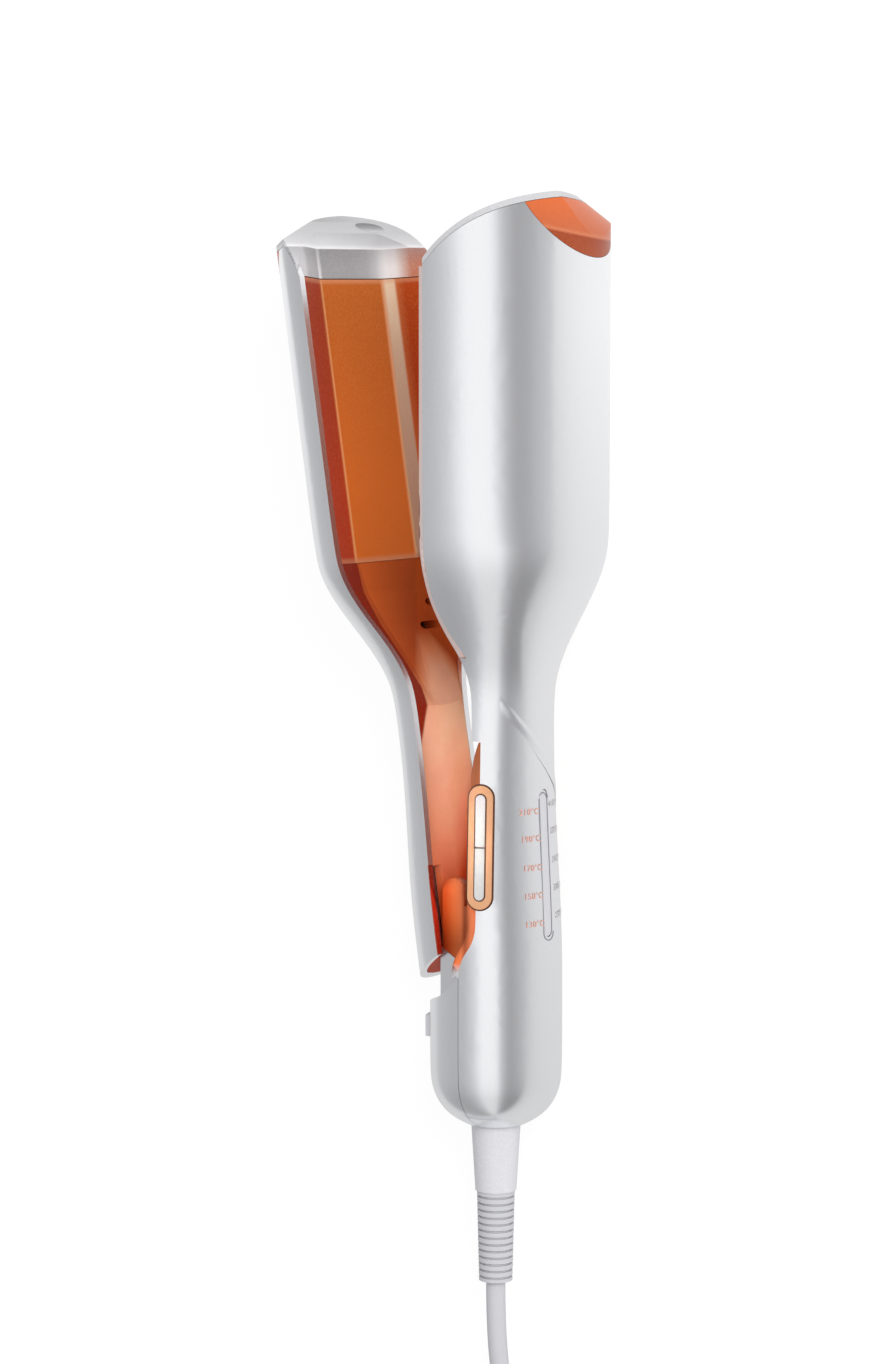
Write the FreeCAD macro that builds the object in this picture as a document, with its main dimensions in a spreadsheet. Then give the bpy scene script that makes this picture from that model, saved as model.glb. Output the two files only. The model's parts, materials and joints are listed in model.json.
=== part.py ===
import FreeCAD, Part
import math
import os
import Sketcher

# Hair crimper with deep wave plates, in millimetres.
# Device frame: +Y runs from the tail to the jaw tips, +X is the back of the main arm,
# +Z is the hinge axis. The finished crimper lies on its side, so +Z is up.

V = FreeCAD.Vector
doc = FreeCAD.newDocument("hair_crimper")

# Driving dimensions
SIZES = [
    ("jaw_half_width", "33.6"),
    ("jaw_depth", "36"),
    ("jaw_rim", "-2"),
    ("jaw_tip", "260.4"),
    ("jaw_flare_end", "178"),
    ("neck_at", "130"),
    ("neck_radius", "17.2"),
    ("waist_at", "116"),
    ("tail_radius", "20"),
    ("tail_straight_end", "48"),
    ("tail_dome", "16.5"),
    ("wall", "2.2"),
    ("lip_start", "118"),
    ("lip_end", "143"),
    ("parting_bend", "16"),
    ("parting_end", "15"),
    ("lens_sunk", "0.35"),
    ("nose_length", "34"),
    ("nose_rise", "13"),
    ("heater_half", "8"),
    ("heater_thick", "2.4"),
    ("clamp_thick", "1.2"),
    ("button_split", "0.4"),
    ("groove_depth", "0.9"),
    ("seam", "0.15"),
    ("grip_parting", "6.2"),
    ("tail_parting", "0.9"),
    ("crown_back", "38"),
    ("crown_rise", "20.3"),
    ("crown_radius", "60.5"),
    ("shoulder_radius", "22"),
    ("shoulder_drop", "14"),
    ("shoulder_width", "8.5"),
    ("shoulder_lean", "24"),
    ("cool_tip_radius", "28"),
    ("cool_tip_centre", "288.5"),
    ("cool_tip_side", "4"),
    ("cool_tip_thick", "2.6"),
    ("crown_lid", "1.8"),
    ("hinge_x", "-6.5"),
    ("hinge_y", "56"),
    ("open_angle", "9.2"),
    ("closing_travel", "12.5"),
    ("lever_jaw_depth", "22"),
    ("lever_rim", "-9.5"),
    ("lever_jaw_tip", "205.3"),
    ("lever_flare_end", "120"),
    ("lever_neck_at", "74"),
    ("lever_neck_radius", "13.6"),
    ("lever_neck_rim", "-3.6"),
    ("lever_heel_radius", "16.4"),
    ("lever_heel_at", "5"),
    ("lever_foot_at", "-3"),
    ("lever_crown_back", "-32.5"),
    ("lever_crown_rise", "21"),
    ("lever_crown_radius", "31"),
    ("lever_cool_tip_centre", "222"),
    ("plate_start", "117"),
    ("plate_end", "203.5"),
    ("plate_thick", "2.4"),
    ("plate_half_width", "30"),
    ("trough_floor_half", "15"),
    ("trough_depth", "7.5"),
    ("facet_slope", "0.384"),
    ("plate_gap", "0.6"),
    ("ridge_half", "13.5"),
    ("ridge_flare", "8.5"),
    ("ridge_height", "18.4"),
    ("cover_thick", "2.7"),
    ("deck_thick", "1.2"),
    ("ear_inner", "9.8"),
    ("ear_thick", "3"),
    ("ear_half", "4.1"),
    ("ear_top", "71.5"),
    ("lever_ear_thick", "3"),
    ("ear_play", "0.4"),
    ("pin_radius", "2"),
    ("pin_play", "0.05"),
    ("tail_cover_top", "47"),
    ("tail_cover_drop", "10.5"),
    ("tail_cover_radius", "32"),
    ("button_centre", "85.5"),
    ("button_length", "31.4"),
    ("button_width", "2.9"),
    ("button_play", "0.2"),
    ("button_travel", "0.6"),
    ("button_angle", "22"),
    ("bezel_length", "37"),
    ("bezel_width", "7.4"),
    ("bezel_face", "18.75"),
    ("bezel_tilt", "-3.2"),
    ("bezel_depth", "3.5"),
    ("bezel_floor", "1.2"),
    ("lens_centre", "81"),
    ("lens_length", "44.4"),
    ("lens_width", "4.2"),
    ("lock_at", "29"),
    ("lock_length", "6.4"),
    ("lock_half_width", "11"),
    ("lock_stand", "1.6"),
    ("lock_travel", "3.4"),
    ("collar_radius", "7.5"),
    ("collar_length", "21"),
    ("guard_radius", "5.75"),
    ("guard_end_radius", "5.1"),
    ("guard_length", "28"),
    ("swivel_neck_radius", "5.6"),
    ("swivel_play", "0.08"),
    ("cord_radius", "3"),
    ("cord_layer", "6.6"),
    ("coil_turn_pitch", "6.6"),
    ("coil_outer_radius", "46.8"),
    ("coil_turns", "3.5"),
    ("plug_pin_radius", "2"),
    ("plug_pin_length", "19"),
    ("plug_pin_spacing", "18.6"),
]

sheet = doc.addObject("Spreadsheet::Sheet", "Sizes")
for row, (alias, value) in enumerate(SIZES, 1):
    sheet.set("A%d" % row, alias)
    sheet.set("B%d" % row, value)
    sheet.setAlias("B%d" % row, alias)
doc.recompute()


def number(item):
    """The plain number of a size or of a number."""
    return item.value if isinstance(item, Size) else float(item)


def words(item):
    """The expression of a size or of a number."""
    return item.text if isinstance(item, Size) else repr(float(item))


class Size:
    """A length that holds both its number and the expression that binds it to the sheet."""

    def __init__(self, value, text):
        self.value = value
        self.text = text

    def __add__(self, other):
        return Size(number(self) + number(other), "(%s + %s)" % (words(self), words(other)))

    def __radd__(self, other):
        return Size(number(other) + number(self), "(%s + %s)" % (words(other), words(self)))

    def __sub__(self, other):
        return Size(number(self) - number(other), "(%s - %s)" % (words(self), words(other)))

    def __rsub__(self, other):
        return Size(number(other) - number(self), "(%s - %s)" % (words(other), words(self)))

    def __mul__(self, other):
        return Size(number(self) * number(other), "(%s * %s)" % (words(self), words(other)))

    __rmul__ = __mul__

    def __truediv__(self, other):
        return Size(number(self) / number(other), "(%s / %s)" % (words(self), words(other)))

    def __neg__(self):
        return Size(-self.value, "(-%s)" % self.text)


class Sheet:
    """The sheet's cells as sizes, by their aliases."""


s = Sheet()
for alias, value in SIZES:
    setattr(s, alias, Size(float(sheet.get(alias)), "Sizes.%s" % alias))


# Placements: the crimper lies on its side, and the lever is held open

LYING_TILT = math.degrees(math.atan2(
    number(s.jaw_half_width - s.tail_radius), number(s.jaw_flare_end - 6 - s.tail_dome)))
TILT = FreeCAD.Rotation(V(1, 0, 0), LYING_TILT)
TILT_ONLY = FreeCAD.Placement(V(0, 0, 0), TILT)
at_hinge = FreeCAD.Placement(V(number(s.hinge_x), number(s.hinge_y), 0), FreeCAD.Rotation())
opened = at_hinge.multiply(FreeCAD.Placement(V(0, 0, 0), FreeCAD.Rotation(V(0, 0, 1), number(s.open_angle))))
shut = at_hinge.multiply(FreeCAD.Placement(
    V(0, 0, 0), FreeCAD.Rotation(V(0, 0, 1), number(s.open_angle - s.closing_travel))))
PIECES = {}


def piece(item, label, place=None):
    """Name a finished sub-part and note where it goes in the lying crimper."""
    item.Label = label
    PIECES[label] = (item, place)
    return item


# Drawing helpers

def outline(owner, role, points, offset=None, name="outline"):
    """A closed sketch on one of the body's own planes.

    Each point is (x, y) or (x, y, radius): with a radius, the edge from that point to the next
    is an arc of that radius, bulging to the left of its direction for a positive radius.
    """
    sketch = owner.newObject("Sketcher::SketchObject", name)
    plane = [item for item in owner.Origin.OriginFeatures if item.Role == role][0]
    sketch.AttachmentSupport = (plane, "")
    sketch.MapMode = "FlatFace"
    if offset is not None:
        sketch.AttachmentOffset = FreeCAD.Placement(V(0, 0, number(offset)), FreeCAD.Rotation())
        sketch.setExpression("AttachmentOffset.Base.z", words(offset))
    count = len(points)
    starts = []
    for index, point in enumerate(points):
        following = points[(index + 1) % count]
        first = V(number(point[0]), number(point[1]), 0)
        last = V(number(following[0]), number(following[1]), 0)
        if len(point) == 3:
            radius = abs(number(point[2]))
            left = V(first.y - last.y, last.x - first.x, 0).normalize()
            half = (last - first).Length / 2
            rise = radius - math.sqrt(max(radius * radius - half * half, 0))
            side = 1 if number(point[2]) > 0 else -1
            middle = (first + last) * 0.5 + left * (rise * side)
            sketch.addGeometry(Part.Arc(first, middle, last), False)
            starts.append(1 if side < 0 else 2)
        else:
            sketch.addGeometry(Part.LineSegment(first, last), False)
            starts.append(1)
    for index in range(count):
        following = (index + 1) % count
        sketch.addConstraint(Sketcher.Constraint(
            "Coincident", index, 3 - starts[index], following, starts[following]))
    for index, point in enumerate(points):
        for kind, value in (("DistanceX", point[0]), ("DistanceY", point[1])):
            bind(sketch, Sketcher.Constraint(
                kind, -1, 1, index, starts[index], number(value)), value)
        if len(point) == 3:
            radius = point[2] if number(point[2]) > 0 else -1 * point[2]
            bind(sketch, Sketcher.Constraint("Radius", index, number(radius)), radius)
    return sketch


def bind(sketch, constraint, value):
    """Add a constraint, bound to the sheet where its value comes from there."""
    index = sketch.addConstraint(constraint)
    if isinstance(value, Size):
        sketch.setExpression("Constraints[%d]" % index, words(value))


def ring_outline(owner, role, centre, radii, offset=None):
    """A sketch of one circle, or of two for a ring, about a centre."""
    sketch = owner.newObject("Sketcher::SketchObject", "circle")
    plane = [item for item in owner.Origin.OriginFeatures if item.Role == role][0]
    sketch.AttachmentSupport = (plane, "")
    sketch.MapMode = "FlatFace"
    if offset is not None:
        sketch.AttachmentOffset = FreeCAD.Placement(V(0, 0, number(offset)), FreeCAD.Rotation())
        sketch.setExpression("AttachmentOffset.Base.z", words(offset))
    for index, radius in enumerate(radii):
        middle = V(number(centre[0]), number(centre[1]), 0)
        sketch.addGeometry(Part.Circle(middle, V(0, 0, 1), number(radius)), False)
        bind(sketch, Sketcher.Constraint("Radius", index, number(radius)), radius)
        for kind, value in (("DistanceX", centre[0]), ("DistanceY", centre[1])):
            bind(sketch, Sketcher.Constraint(kind, -1, 1, index, 3, number(value)), value)
    return sketch


def pad(owner, sketch, length, both=True, reverse=False):
    """Add the sketch's solid, to both sides or to one."""
    return sweep_feature(owner, "PartDesign::Pad", sketch, length, both, reverse)


def pocket(owner, sketch, length, both=True, reverse=False):
    """Cut the sketch's solid, to both sides or to one."""
    return sweep_feature(owner, "PartDesign::Pocket", sketch, length, both, reverse)


def sweep_feature(owner, kind, sketch, length, both, reverse):
    feature = owner.newObject(kind, kind.split("::")[1].lower())
    feature.Profile = sketch
    feature.Length = number(length)
    if isinstance(length, Size):
        feature.setExpression("Length", words(length))
    feature.Midplane = both
    feature.Reversed = reverse
    sketch.Visibility = False
    return feature


def new_body(name):
    return doc.addObject("PartDesign::Body", name)


def prism(name, role, points, length, both=True, offset=None, reverse=False):
    """A body that is one padded outline."""
    owner = new_body(name)
    pad(owner, outline(owner, role, points, offset), length, both, reverse)
    return owner


def rod(name, role, centre, radii, length, both=True, offset=None, reverse=False):
    """A body that is one padded circle or ring."""
    owner = new_body(name)
    pad(owner, ring_outline(owner, role, centre, radii, offset), length, both, reverse)
    return owner


def turned(name, points, role="XY_Plane", axis="Y"):
    """A body turned about an axis from half of its section."""
    owner = new_body(name)
    sketch = outline(owner, role, points)
    feature = owner.newObject("PartDesign::Revolution", "turning")
    feature.Profile = sketch
    line = [item for item in owner.Origin.OriginFeatures if item.Role == axis + "_Axis"][0]
    feature.ReferenceAxis = (line, [""])
    feature.Angle = 360
    return owner


def cut(base, *tools):
    """The base less every tool."""
    for tool in tools:
        item = doc.addObject("Part::Cut", "cut")
        item.Base = base
        item.Tool = tool
        base = item
    return base


def common(base, tool):
    """What the base and the tool share."""
    item = doc.addObject("Part::Common", "common")
    item.Base = base
    item.Tool = tool
    return item


def fuse(*shapes):
    """One solid of several."""
    item = doc.addObject("Part::MultiFuse", "fuse")
    item.Shapes = list(shapes)
    item.Refine = True
    return item


def solid(name, shape):
    """A free form, set by its own functions."""
    item = doc.addObject("Part::Feature", name)
    item.Shape = shape
    return item


def box_points(low, high):
    """The corners of a rectangle."""
    return [(low[0], low[1]), (high[0], low[1]), (high[0], high[1]), (low[0], high[1])]


def slot_points(centre, length, width):
    """The outline of an oblong with round ends, long along its second direction."""
    half = width / 2
    reach = (length - width) / 2
    return [
        (centre[0] + half, centre[1] - reach),
        (centre[0] + half, centre[1] + reach, -1.0001 * half),
        (centre[0] - half, centre[1] + reach),
        (centre[0] - half, centre[1] - reach, -1.0001 * half),
    ]


# Moulded forms: smooth solids whose control ovals stand across the long axis

AROUND = 12


def moulded(ovals, seam_angle):
    """A solid round its ovals, each (y, centre x, half width along Z, depth along X)."""
    step = 2 * math.pi / AROUND
    swell = 3 / (2 + math.cos(step))
    poles = []
    for index in range(AROUND):
        across = swell * math.cos(seam_angle + step * (index + 1))
        up = swell * math.sin(seam_angle + step * (index + 1))
        poles.append([V(centre + depth * across, at, half_width * up)
                      for at, centre, half_width, depth in ovals])
    spans = len(ovals) - 3
    skin = Part.BSplineSurface()
    skin.buildFromPolesMultsKnots(
        poles, [1] * (AROUND + 1), [4] + [1] * (spans - 1) + [4],
        list(range(AROUND + 1)), list(range(spans + 1)), True, False, 3, 3)
    side = skin.toShape()
    low, high = [edge for edge in side.Edges if edge.BoundBox.YLength < 0.01]
    faces = Part.Compound([side, Part.Face(Part.Wire([low])), Part.Face(Part.Wire([high]))])
    faces.sewShape()
    form = Part.Solid(faces.Shells[0])
    if form.Volume < 0:
        form.reverse()
    return form


def ease(share):
    """A smooth step from 0 to 1."""
    share = min(max(share, 0.0), 1.0)
    return share * share * (3 - 2 * share)


def between(low, high, count):
    return [low + (high - low) * step / count for step in range(count + 1)]


def main_radius(at):
    """The radius of the tail and the grip, which narrows to the neck."""
    rise = ease((number(s.waist_at) - at) / number(s.waist_at - s.tail_straight_end))
    return number(s.neck_radius) + number(s.tail_radius - s.neck_radius) * rise


def main_form(inset):
    """The main arm's form, drawn in by inset: dome, tail, grip, neck, flare and jaw."""
    ovals = []
    dome = number(s.tail_dome)
    for share in (0.07, 0.2, 0.4, 0.7, 1.0):
        reach = (number(s.tail_radius) - inset) * (1 - (1 - share) ** 2.4) ** (1 / 2.4)
        ovals.append((inset + (share - 0.07) / 0.93 * (dome - inset), 0, reach, reach))
    stations = between(number(s.tail_straight_end) - 12, number(s.waist_at), 5)
    stations += between(number(s.neck_at), number(s.jaw_flare_end), 7)
    stations += between(number(s.jaw_flare_end) + 22, number(s.jaw_tip) + 40, 3)
    for at in stations:
        share = ease((at - number(s.neck_at)) / number(s.jaw_flare_end - s.neck_at))
        radius = main_radius(at)
        half_width = radius + (number(s.jaw_half_width) - radius) * share
        depth = radius + (number(s.jaw_depth) - radius) * share
        ovals.append((at, number(s.jaw_rim) * share, half_width - inset, depth - inset))
    return moulded(ovals, math.pi)


def lever_size(at):
    """Centre, half width and depth of the lever's form at a station."""
    share = ease((at - number(s.lever_neck_at)) / number(s.lever_flare_end - s.lever_neck_at))
    waist = number(s.lever_neck_at) - 14
    heel = ease((waist - at) / (waist - number(s.lever_heel_at)))
    radius = number(s.lever_neck_radius) + number(s.lever_heel_radius - s.lever_neck_radius) * heel
    half_width = radius + (number(s.jaw_half_width) - radius) * share
    depth = radius + (number(s.lever_jaw_depth) - radius) * share
    centre = number(s.lever_neck_rim) + number(s.lever_rim - s.lever_neck_rim) * share
    return centre, half_width, depth


def lever_form(inset):
    """The lever's form, drawn in by inset: heel, neck, flare and jaw."""
    stations = [number(s.lever_heel_at) - 30, number(s.lever_heel_at) - 12]
    stations += between(number(s.lever_heel_at), number(s.lever_neck_at) - 14, 4)
    stations += between(number(s.lever_neck_at), number(s.lever_flare_end), 7)
    stations += between(number(s.lever_flare_end) + 22, number(s.lever_jaw_tip) + 35, 3)
    ovals = []
    for at in stations:
        centre, half_width, depth = lever_size(at)
        ovals.append((at, centre, half_width - inset, depth - inset))
    return moulded(ovals, 0)


# Side outlines shared by the shells, covers and caps

FAR = 70


def s_bend(first, last):
    """Two equal arcs from first to last that start and end along Y; last is left out."""
    across = last[0] - first[0]
    along = last[1] - first[1]
    rising = 1 if number(across) > 0 else -1
    side = rising if number(along) > 0 else -rising
    radius = (across * across + along * along) / (across * (4 * rising))
    middle = ((first[0] + last[0]) / 2, (first[1] + last[1]) / 2)
    return [(first[0], first[1], radius * side), (middle[0], middle[1], radius * -side)]


def parting(grip_shift, jaw_shift):
    """The main arm's parting line, from the tail cover's top to the jaw, moved along X."""
    tail = (s.tail_parting + grip_shift, s.tail_cover_top)
    grip = (s.grip_parting + grip_shift, s.tail_cover_top + s.parting_bend)
    neck = (s.grip_parting + grip_shift, s.neck_at)
    jaw = (s.jaw_rim + jaw_shift, s.jaw_flare_end - s.parting_end)
    return s_bend(tail, grip) + [grip] + s_bend(neck, jaw) + [jaw]


def crown_line(drop=0):
    """The main crown from the rim to behind the back, lowered by drop."""
    top = s.jaw_tip + s.crown_rise - drop
    return [(s.jaw_rim, s.jaw_tip - drop, s.crown_radius), (s.crown_back, top), (FAR, top)]


def lever_crown_line(drop=0):
    """The lever's crown from the rim to behind the back, lowered by drop."""
    top = s.lever_jaw_tip + s.lever_crown_rise - drop
    return [(s.lever_rim, s.lever_jaw_tip - drop, -1 * s.lever_crown_radius),
            (s.lever_crown_back, top), (-FAR, top)]


def lever_rim_line(foot):
    """The lever's rim from foot up to the jaw tip."""
    neck = (s.lever_neck_rim, s.lever_neck_at)
    jaw = (s.lever_rim, s.lever_flare_end)
    return [(s.lever_neck_rim, foot)] + s_bend(neck, jaw) + [jaw]


def shoulder_tool(name, back, top, side, deeper):
    """What the leaning, rounded shoulder takes off a jaw's crown; deeper moves it inwards."""
    back = back - deeper * side
    top = top - deeper
    owner = prism(name, "XY_Plane", [
        (back, top - s.shoulder_drop * 3),
        (back, top - s.shoulder_drop, s.shoulder_radius * -side),
        (back - s.shoulder_width * side, top),
        (back - s.shoulder_width * (5 * side), top + s.shoulder_drop),
        (back + s.shoulder_width * (3 * side), top + s.shoulder_drop),
        (back + s.shoulder_width * (3 * side), top - s.shoulder_drop * 3),
    ], 4 * FAR)
    pivot = V(0, number(top - s.shoulder_drop / 2), 0)
    lean = FreeCAD.Rotation(V(1, 0, 0), number(s.shoulder_lean) * -side)
    owner.Placement = FreeCAD.Placement(V(0, 0, 0), lean, pivot)
    return owner


def cool_tip_tool(name, centre, side, shrink):
    """The round outline of a cool tip, looking at the jaw's back."""
    radius = s.cool_tip_radius - shrink
    return rod(name, "YZ_Plane", (centre, s.cool_tip_side * -side), [radius], FAR, False, None, side < 0)


# Main arm: shells

main_solid = solid("main_solid", main_form(0))
main_hollow = solid("main_hollow", main_form(number(s.wall)))
main_core = solid("main_core", main_form(number(s.wall + s.seam)))
main_skin = cut(main_solid, main_hollow)

under_lid = s.crown_lid + s.seam
shell_region = prism("shell_region", "XY_Plane", [
    (s.tail_parting, -FAR), *parting(0, 0), *crown_line(under_lid), (FAR, -FAR)], 2 * FAR)


def crown_region(name, drop):
    """The main jaw's end below the crown, lowered by drop."""
    foot = s.jaw_tip - s.cool_tip_radius
    return prism(name, "XY_Plane", [(s.jaw_rim, foot), *crown_line(drop), (FAR, foot)], 2 * FAR)


main_back = s.jaw_rim + s.jaw_depth + 0.5
main_top = s.jaw_tip + s.crown_rise - 1
main_shoulder = shoulder_tool("main_shoulder", main_back, main_top, 1, 0)
main_inner_shoulder = shoulder_tool("main_inner_shoulder", main_back, main_top, 1, s.cool_tip_thick)
cool_tip_recess = cool_tip_tool("cool_tip_recess", s.cool_tip_centre, 1, 0)
cool_tip_form = cool_tip_tool("cool_tip_form", s.cool_tip_centre, 1, s.seam)

# Local frame of the buttons: Z looks out of the grip, Y along it
button_frame = FreeCAD.Placement(V(0, number(s.button_centre), 0), FreeCAD.Rotation()).multiply(
    FreeCAD.Placement(V(0, 0, 0), FreeCAD.Rotation(V(0, 1, 0), number(s.button_angle)))).multiply(
    FreeCAD.Placement(V(0, 0, 0), FreeCAD.Rotation(V(1, 0, 0), number(s.bezel_tilt))))
bezel_foot = s.bezel_face - s.bezel_depth


def bezel_tool(name, grow):
    """The bezel's oblong, grown, from its foot to well outside the grip."""
    tool = prism(name, "XY_Plane", slot_points(
        (0, 0), s.bezel_length + 2 * grow, s.bezel_width + 2 * grow), 10, False, bezel_foot - grow)
    tool.Placement = button_frame
    return tool


lens_slot = prism("lens_slot", "YZ_Plane", [
    (point[1], point[0], *[-1 * radius for radius in point[2:]])
    for point in slot_points((0, s.lens_centre), s.lens_length, s.lens_width)], FAR, False)
swivel_hole = rod("swivel_hole", "XZ_Plane", (0, 0), [s.swivel_neck_radius + s.swivel_play], 30)

boss_places = [(s.neck_at - 3, 7), (s.neck_at - 3, -7)]


def cover_boss(name, place, radius, start, length):
    """A round post along X at a screw's place."""
    return rod(name, "YZ_Plane", place, [radius], length, False, start)


tail_screw_place = (s.tail_dome + 2, 0)
bosses = [cover_boss("boss", place, 3, s.grip_parting + 0.1, FAR) for place in boss_places]
bosses += [cover_boss("tail_boss", tail_screw_place, 3, s.tail_parting + 0.3, FAR)]
boss_bores = [cover_boss("boss_bore", place, 1.25, 0, 14) for place in boss_places + [tail_screw_place]]
shell = common(main_skin, shell_region)
shell = cut(shell, main_shoulder, cool_tip_recess, bezel_tool("bezel_seat", s.seam), lens_slot, swivel_hole)
cover_band = prism("cover_band", "XY_Plane", [
    *parting(-1 * s.cover_thick, -1 * s.deck_thick), (s.jaw_rim - s.deck_thick, s.jaw_tip - 2.4),
    (s.jaw_rim, s.jaw_tip - 2.4),
    *[(point[0], point[1], *[-1 * radius for radius in turn[2:]])
      for point, turn in zip(parting(0, 0)[::-1], parting(0, 0)[::-1][1:] + [()])]], 2 * FAR)
lip_region = prism("lip_region", "XY_Plane", box_points((-FAR, s.lip_start), (FAR, s.lip_end)), 2 * FAR)
lip_room = prism("lip_room", "XY_Plane", box_points(
    (-FAR, s.lip_start - s.seam), (FAR, s.lip_end + s.seam)), 2 * FAR)
lip = common(common(main_skin, cover_band), lip_region)
shell = fuse(shell, lip, *[common(boss, main_solid) for boss in bosses])
piece(cut(shell, *boss_bores), "body_outer_shell")

jaw_block = cut(common(main_solid, crown_region("tip_region", under_lid)), main_shoulder)
jaw_inside = cut(common(main_hollow, crown_region("inside_region", under_lid)), main_inner_shoulder)
piece(common(cut(jaw_block, jaw_inside), cool_tip_form), "body_cool_tip")

lens_plug = prism("lens_plug", "YZ_Plane", [
    (point[1], point[0], *[-1 * radius for radius in point[2:]])
    for point in slot_points((0, s.lens_centre), s.lens_length - 2 * s.seam, s.lens_width - 2 * s.seam)],
    FAR, False)
sunk_solid = solid("sunk_solid", main_form(number(s.lens_sunk)))
piece(common(cut(sunk_solid, main_hollow), lens_plug), "indicator_lens")


# Main arm: inner cover with deck, nose and ears

grip_face = s.grip_parting - s.cover_thick
deck_face = s.jaw_rim - s.deck_thick
cover_top = s.jaw_tip - 2.4
lid = cut(common(main_solid, cover_band), common(cut(main_solid, main_core), lip_room))


def ears(name, points, inner, thick):
    """Two upright plates of one outline, either side of the middle."""
    outer = prism(name, "XY_Plane", points, 2 * (inner + thick))
    return cut(outer, prism(name + "_space", "XY_Plane", points, 2 * inner))


ear_left = s.hinge_x - s.ear_half
ear_right = s.hinge_x + s.ear_half
ear_foot = s.tail_cover_top + 1
ear_slant = 6
body_ears = ears("body_ears", [
    (ear_left, ear_foot + ear_slant),
    (ear_left, s.ear_top, 1.0001 * s.ear_half),
    (ear_right, s.ear_top),
    (ear_right, s.ear_top - 4),
    (grip_face + 0.5, s.ear_top - 4),
    (grip_face + 0.5, ear_foot + 10),
    (s.tail_parting, ear_foot),
], s.ear_inner, s.ear_thick)
pin_reach = s.ear_inner + s.ear_thick
pin_end = pin_reach - 1
pin_bore = rod("pin_bore", "XY_Plane", (s.hinge_x, s.hinge_y), [s.pin_radius + s.pin_play],
               FAR + pin_end + s.pin_play, False, -FAR)


def trapezoid(top, half, height, flare):
    """The ridge's section as (x, z) points, from its top towards the arm."""
    return [(top, -half), (top, half), (top + height, half + flare), (top + height, -half - flare)]


ridge_top = s.lever_rim - s.trough_depth + s.plate_gap


def nose():
    """The ramp from the ridge's lower end down to the deck, a straight loft of two trapezoids."""
    def ring(at, top, half):
        points = [V(number(x), at, number(z)) for x, z in trapezoid(
            top, half, s.ridge_height, s.ridge_flare)]
        return Part.makePolygon(points + points[:1])
    start = number(s.plate_start) - number(s.seam)
    return Part.makeLoft([
        ring(start, ridge_top, s.ridge_half),
        ring(start - number(s.nose_length), ridge_top + s.nose_rise, s.ridge_half * 0.45)], True, True)


nose_form = solid("nose_form", nose())
nose_form.Placement = shut
front_of_deck = prism("front_of_deck", "XY_Plane", [
    (-FAR, s.tail_cover_top), *parting(0.5 - s.cover_thick, 0.4 - s.deck_thick),
    (deck_face + 0.4, 2 * s.jaw_tip), (-FAR, 2 * s.jaw_tip)], 2 * FAR)
cover = fuse(lid, common(nose_form, front_of_deck), body_ears)
cover = cut(cover, bezel_tool("bezel_notch", s.seam), pin_bore,
            *[cover_boss("screw_hole", place, 1.35, -10, 30) for place in boss_places],
            *[cover_boss("screw_seat", place, 2.5, -10, 10 + grip_face + 1.3) for place in boss_places])
piece(cover, "body_inner_cover")


# Main arm: ridge plate and what heats it, drawn in the shut lever's frame

def along_plate(name, points, start, end):
    """A body of one (x, z) section that runs along the plates."""
    return prism(name, "XZ_Plane", points, end - start, False, -1 * start, True)


inner_flare = s.ridge_flare / s.ridge_height
plate_side = s.plate_thick * 1.1
ridge_end = s.plate_end - 3
ridge_band = along_plate("ridge_band", [
    (ridge_top, -s.ridge_half),
    (ridge_top, s.ridge_half),
    (ridge_top + s.ridge_height, s.ridge_half + s.ridge_flare),
    (ridge_top + s.ridge_height, s.ridge_half + s.ridge_flare - plate_side),
    (ridge_top + s.plate_thick, s.ridge_half + inner_flare * s.plate_thick - plate_side),
    (ridge_top + s.plate_thick, plate_side - s.ridge_half - inner_flare * s.plate_thick),
    (ridge_top + s.ridge_height, plate_side - s.ridge_half - s.ridge_flare),
    (ridge_top + s.ridge_height, -s.ridge_half - s.ridge_flare),
], s.plate_start, ridge_end)
ridge_band.Placement = shut
on_deck = prism("on_deck", "XY_Plane", box_points((-FAR, 0), (deck_face, 2 * s.jaw_tip)), 2 * FAR)
piece(common(ridge_band, on_deck), "ridge_plate")

heater_start = s.plate_start + 11
heater_end = s.plate_end - 14
heater_front = ridge_top + s.plate_thick
clamp_front = heater_front + s.heater_thick
carrier_front = clamp_front + s.clamp_thick
piece(along_plate("body_heater", box_points(
    (heater_front, -1 * s.heater_half), (clamp_front, s.heater_half)), heater_start, heater_end),
    "body_heater", shut)
piece(along_plate("body_heater_clamp", box_points(
    (clamp_front, -1 * s.heater_half - 1), (carrier_front, s.heater_half + 1)),
    heater_start - 3, heater_end + 3), "body_heater_clamp", shut)
carrier_block = along_plate("carrier_block", box_points(
    (carrier_front, -1 * s.heater_half - 4), (carrier_front + s.ridge_height, s.heater_half + 4)),
    heater_start - 4, heater_end - 2)
carrier_block.Placement = shut
over_deck = prism("over_deck", "XY_Plane", box_points((-FAR, 0), (deck_face - 0.2, 2 * s.jaw_tip)), 2 * FAR)
piece(common(carrier_block, over_deck), "body_plate_carrier")
fuse_radius = 1.7
piece(rod("thermal_fuse", "XZ_Plane", (heater_front + fuse_radius, 0), [fuse_radius], 5.5, False,
          -1 * (s.plate_start + 1), True), "thermal_fuse", shut)


# Main arm: end cap, with a nose of the ridge's section

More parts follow.
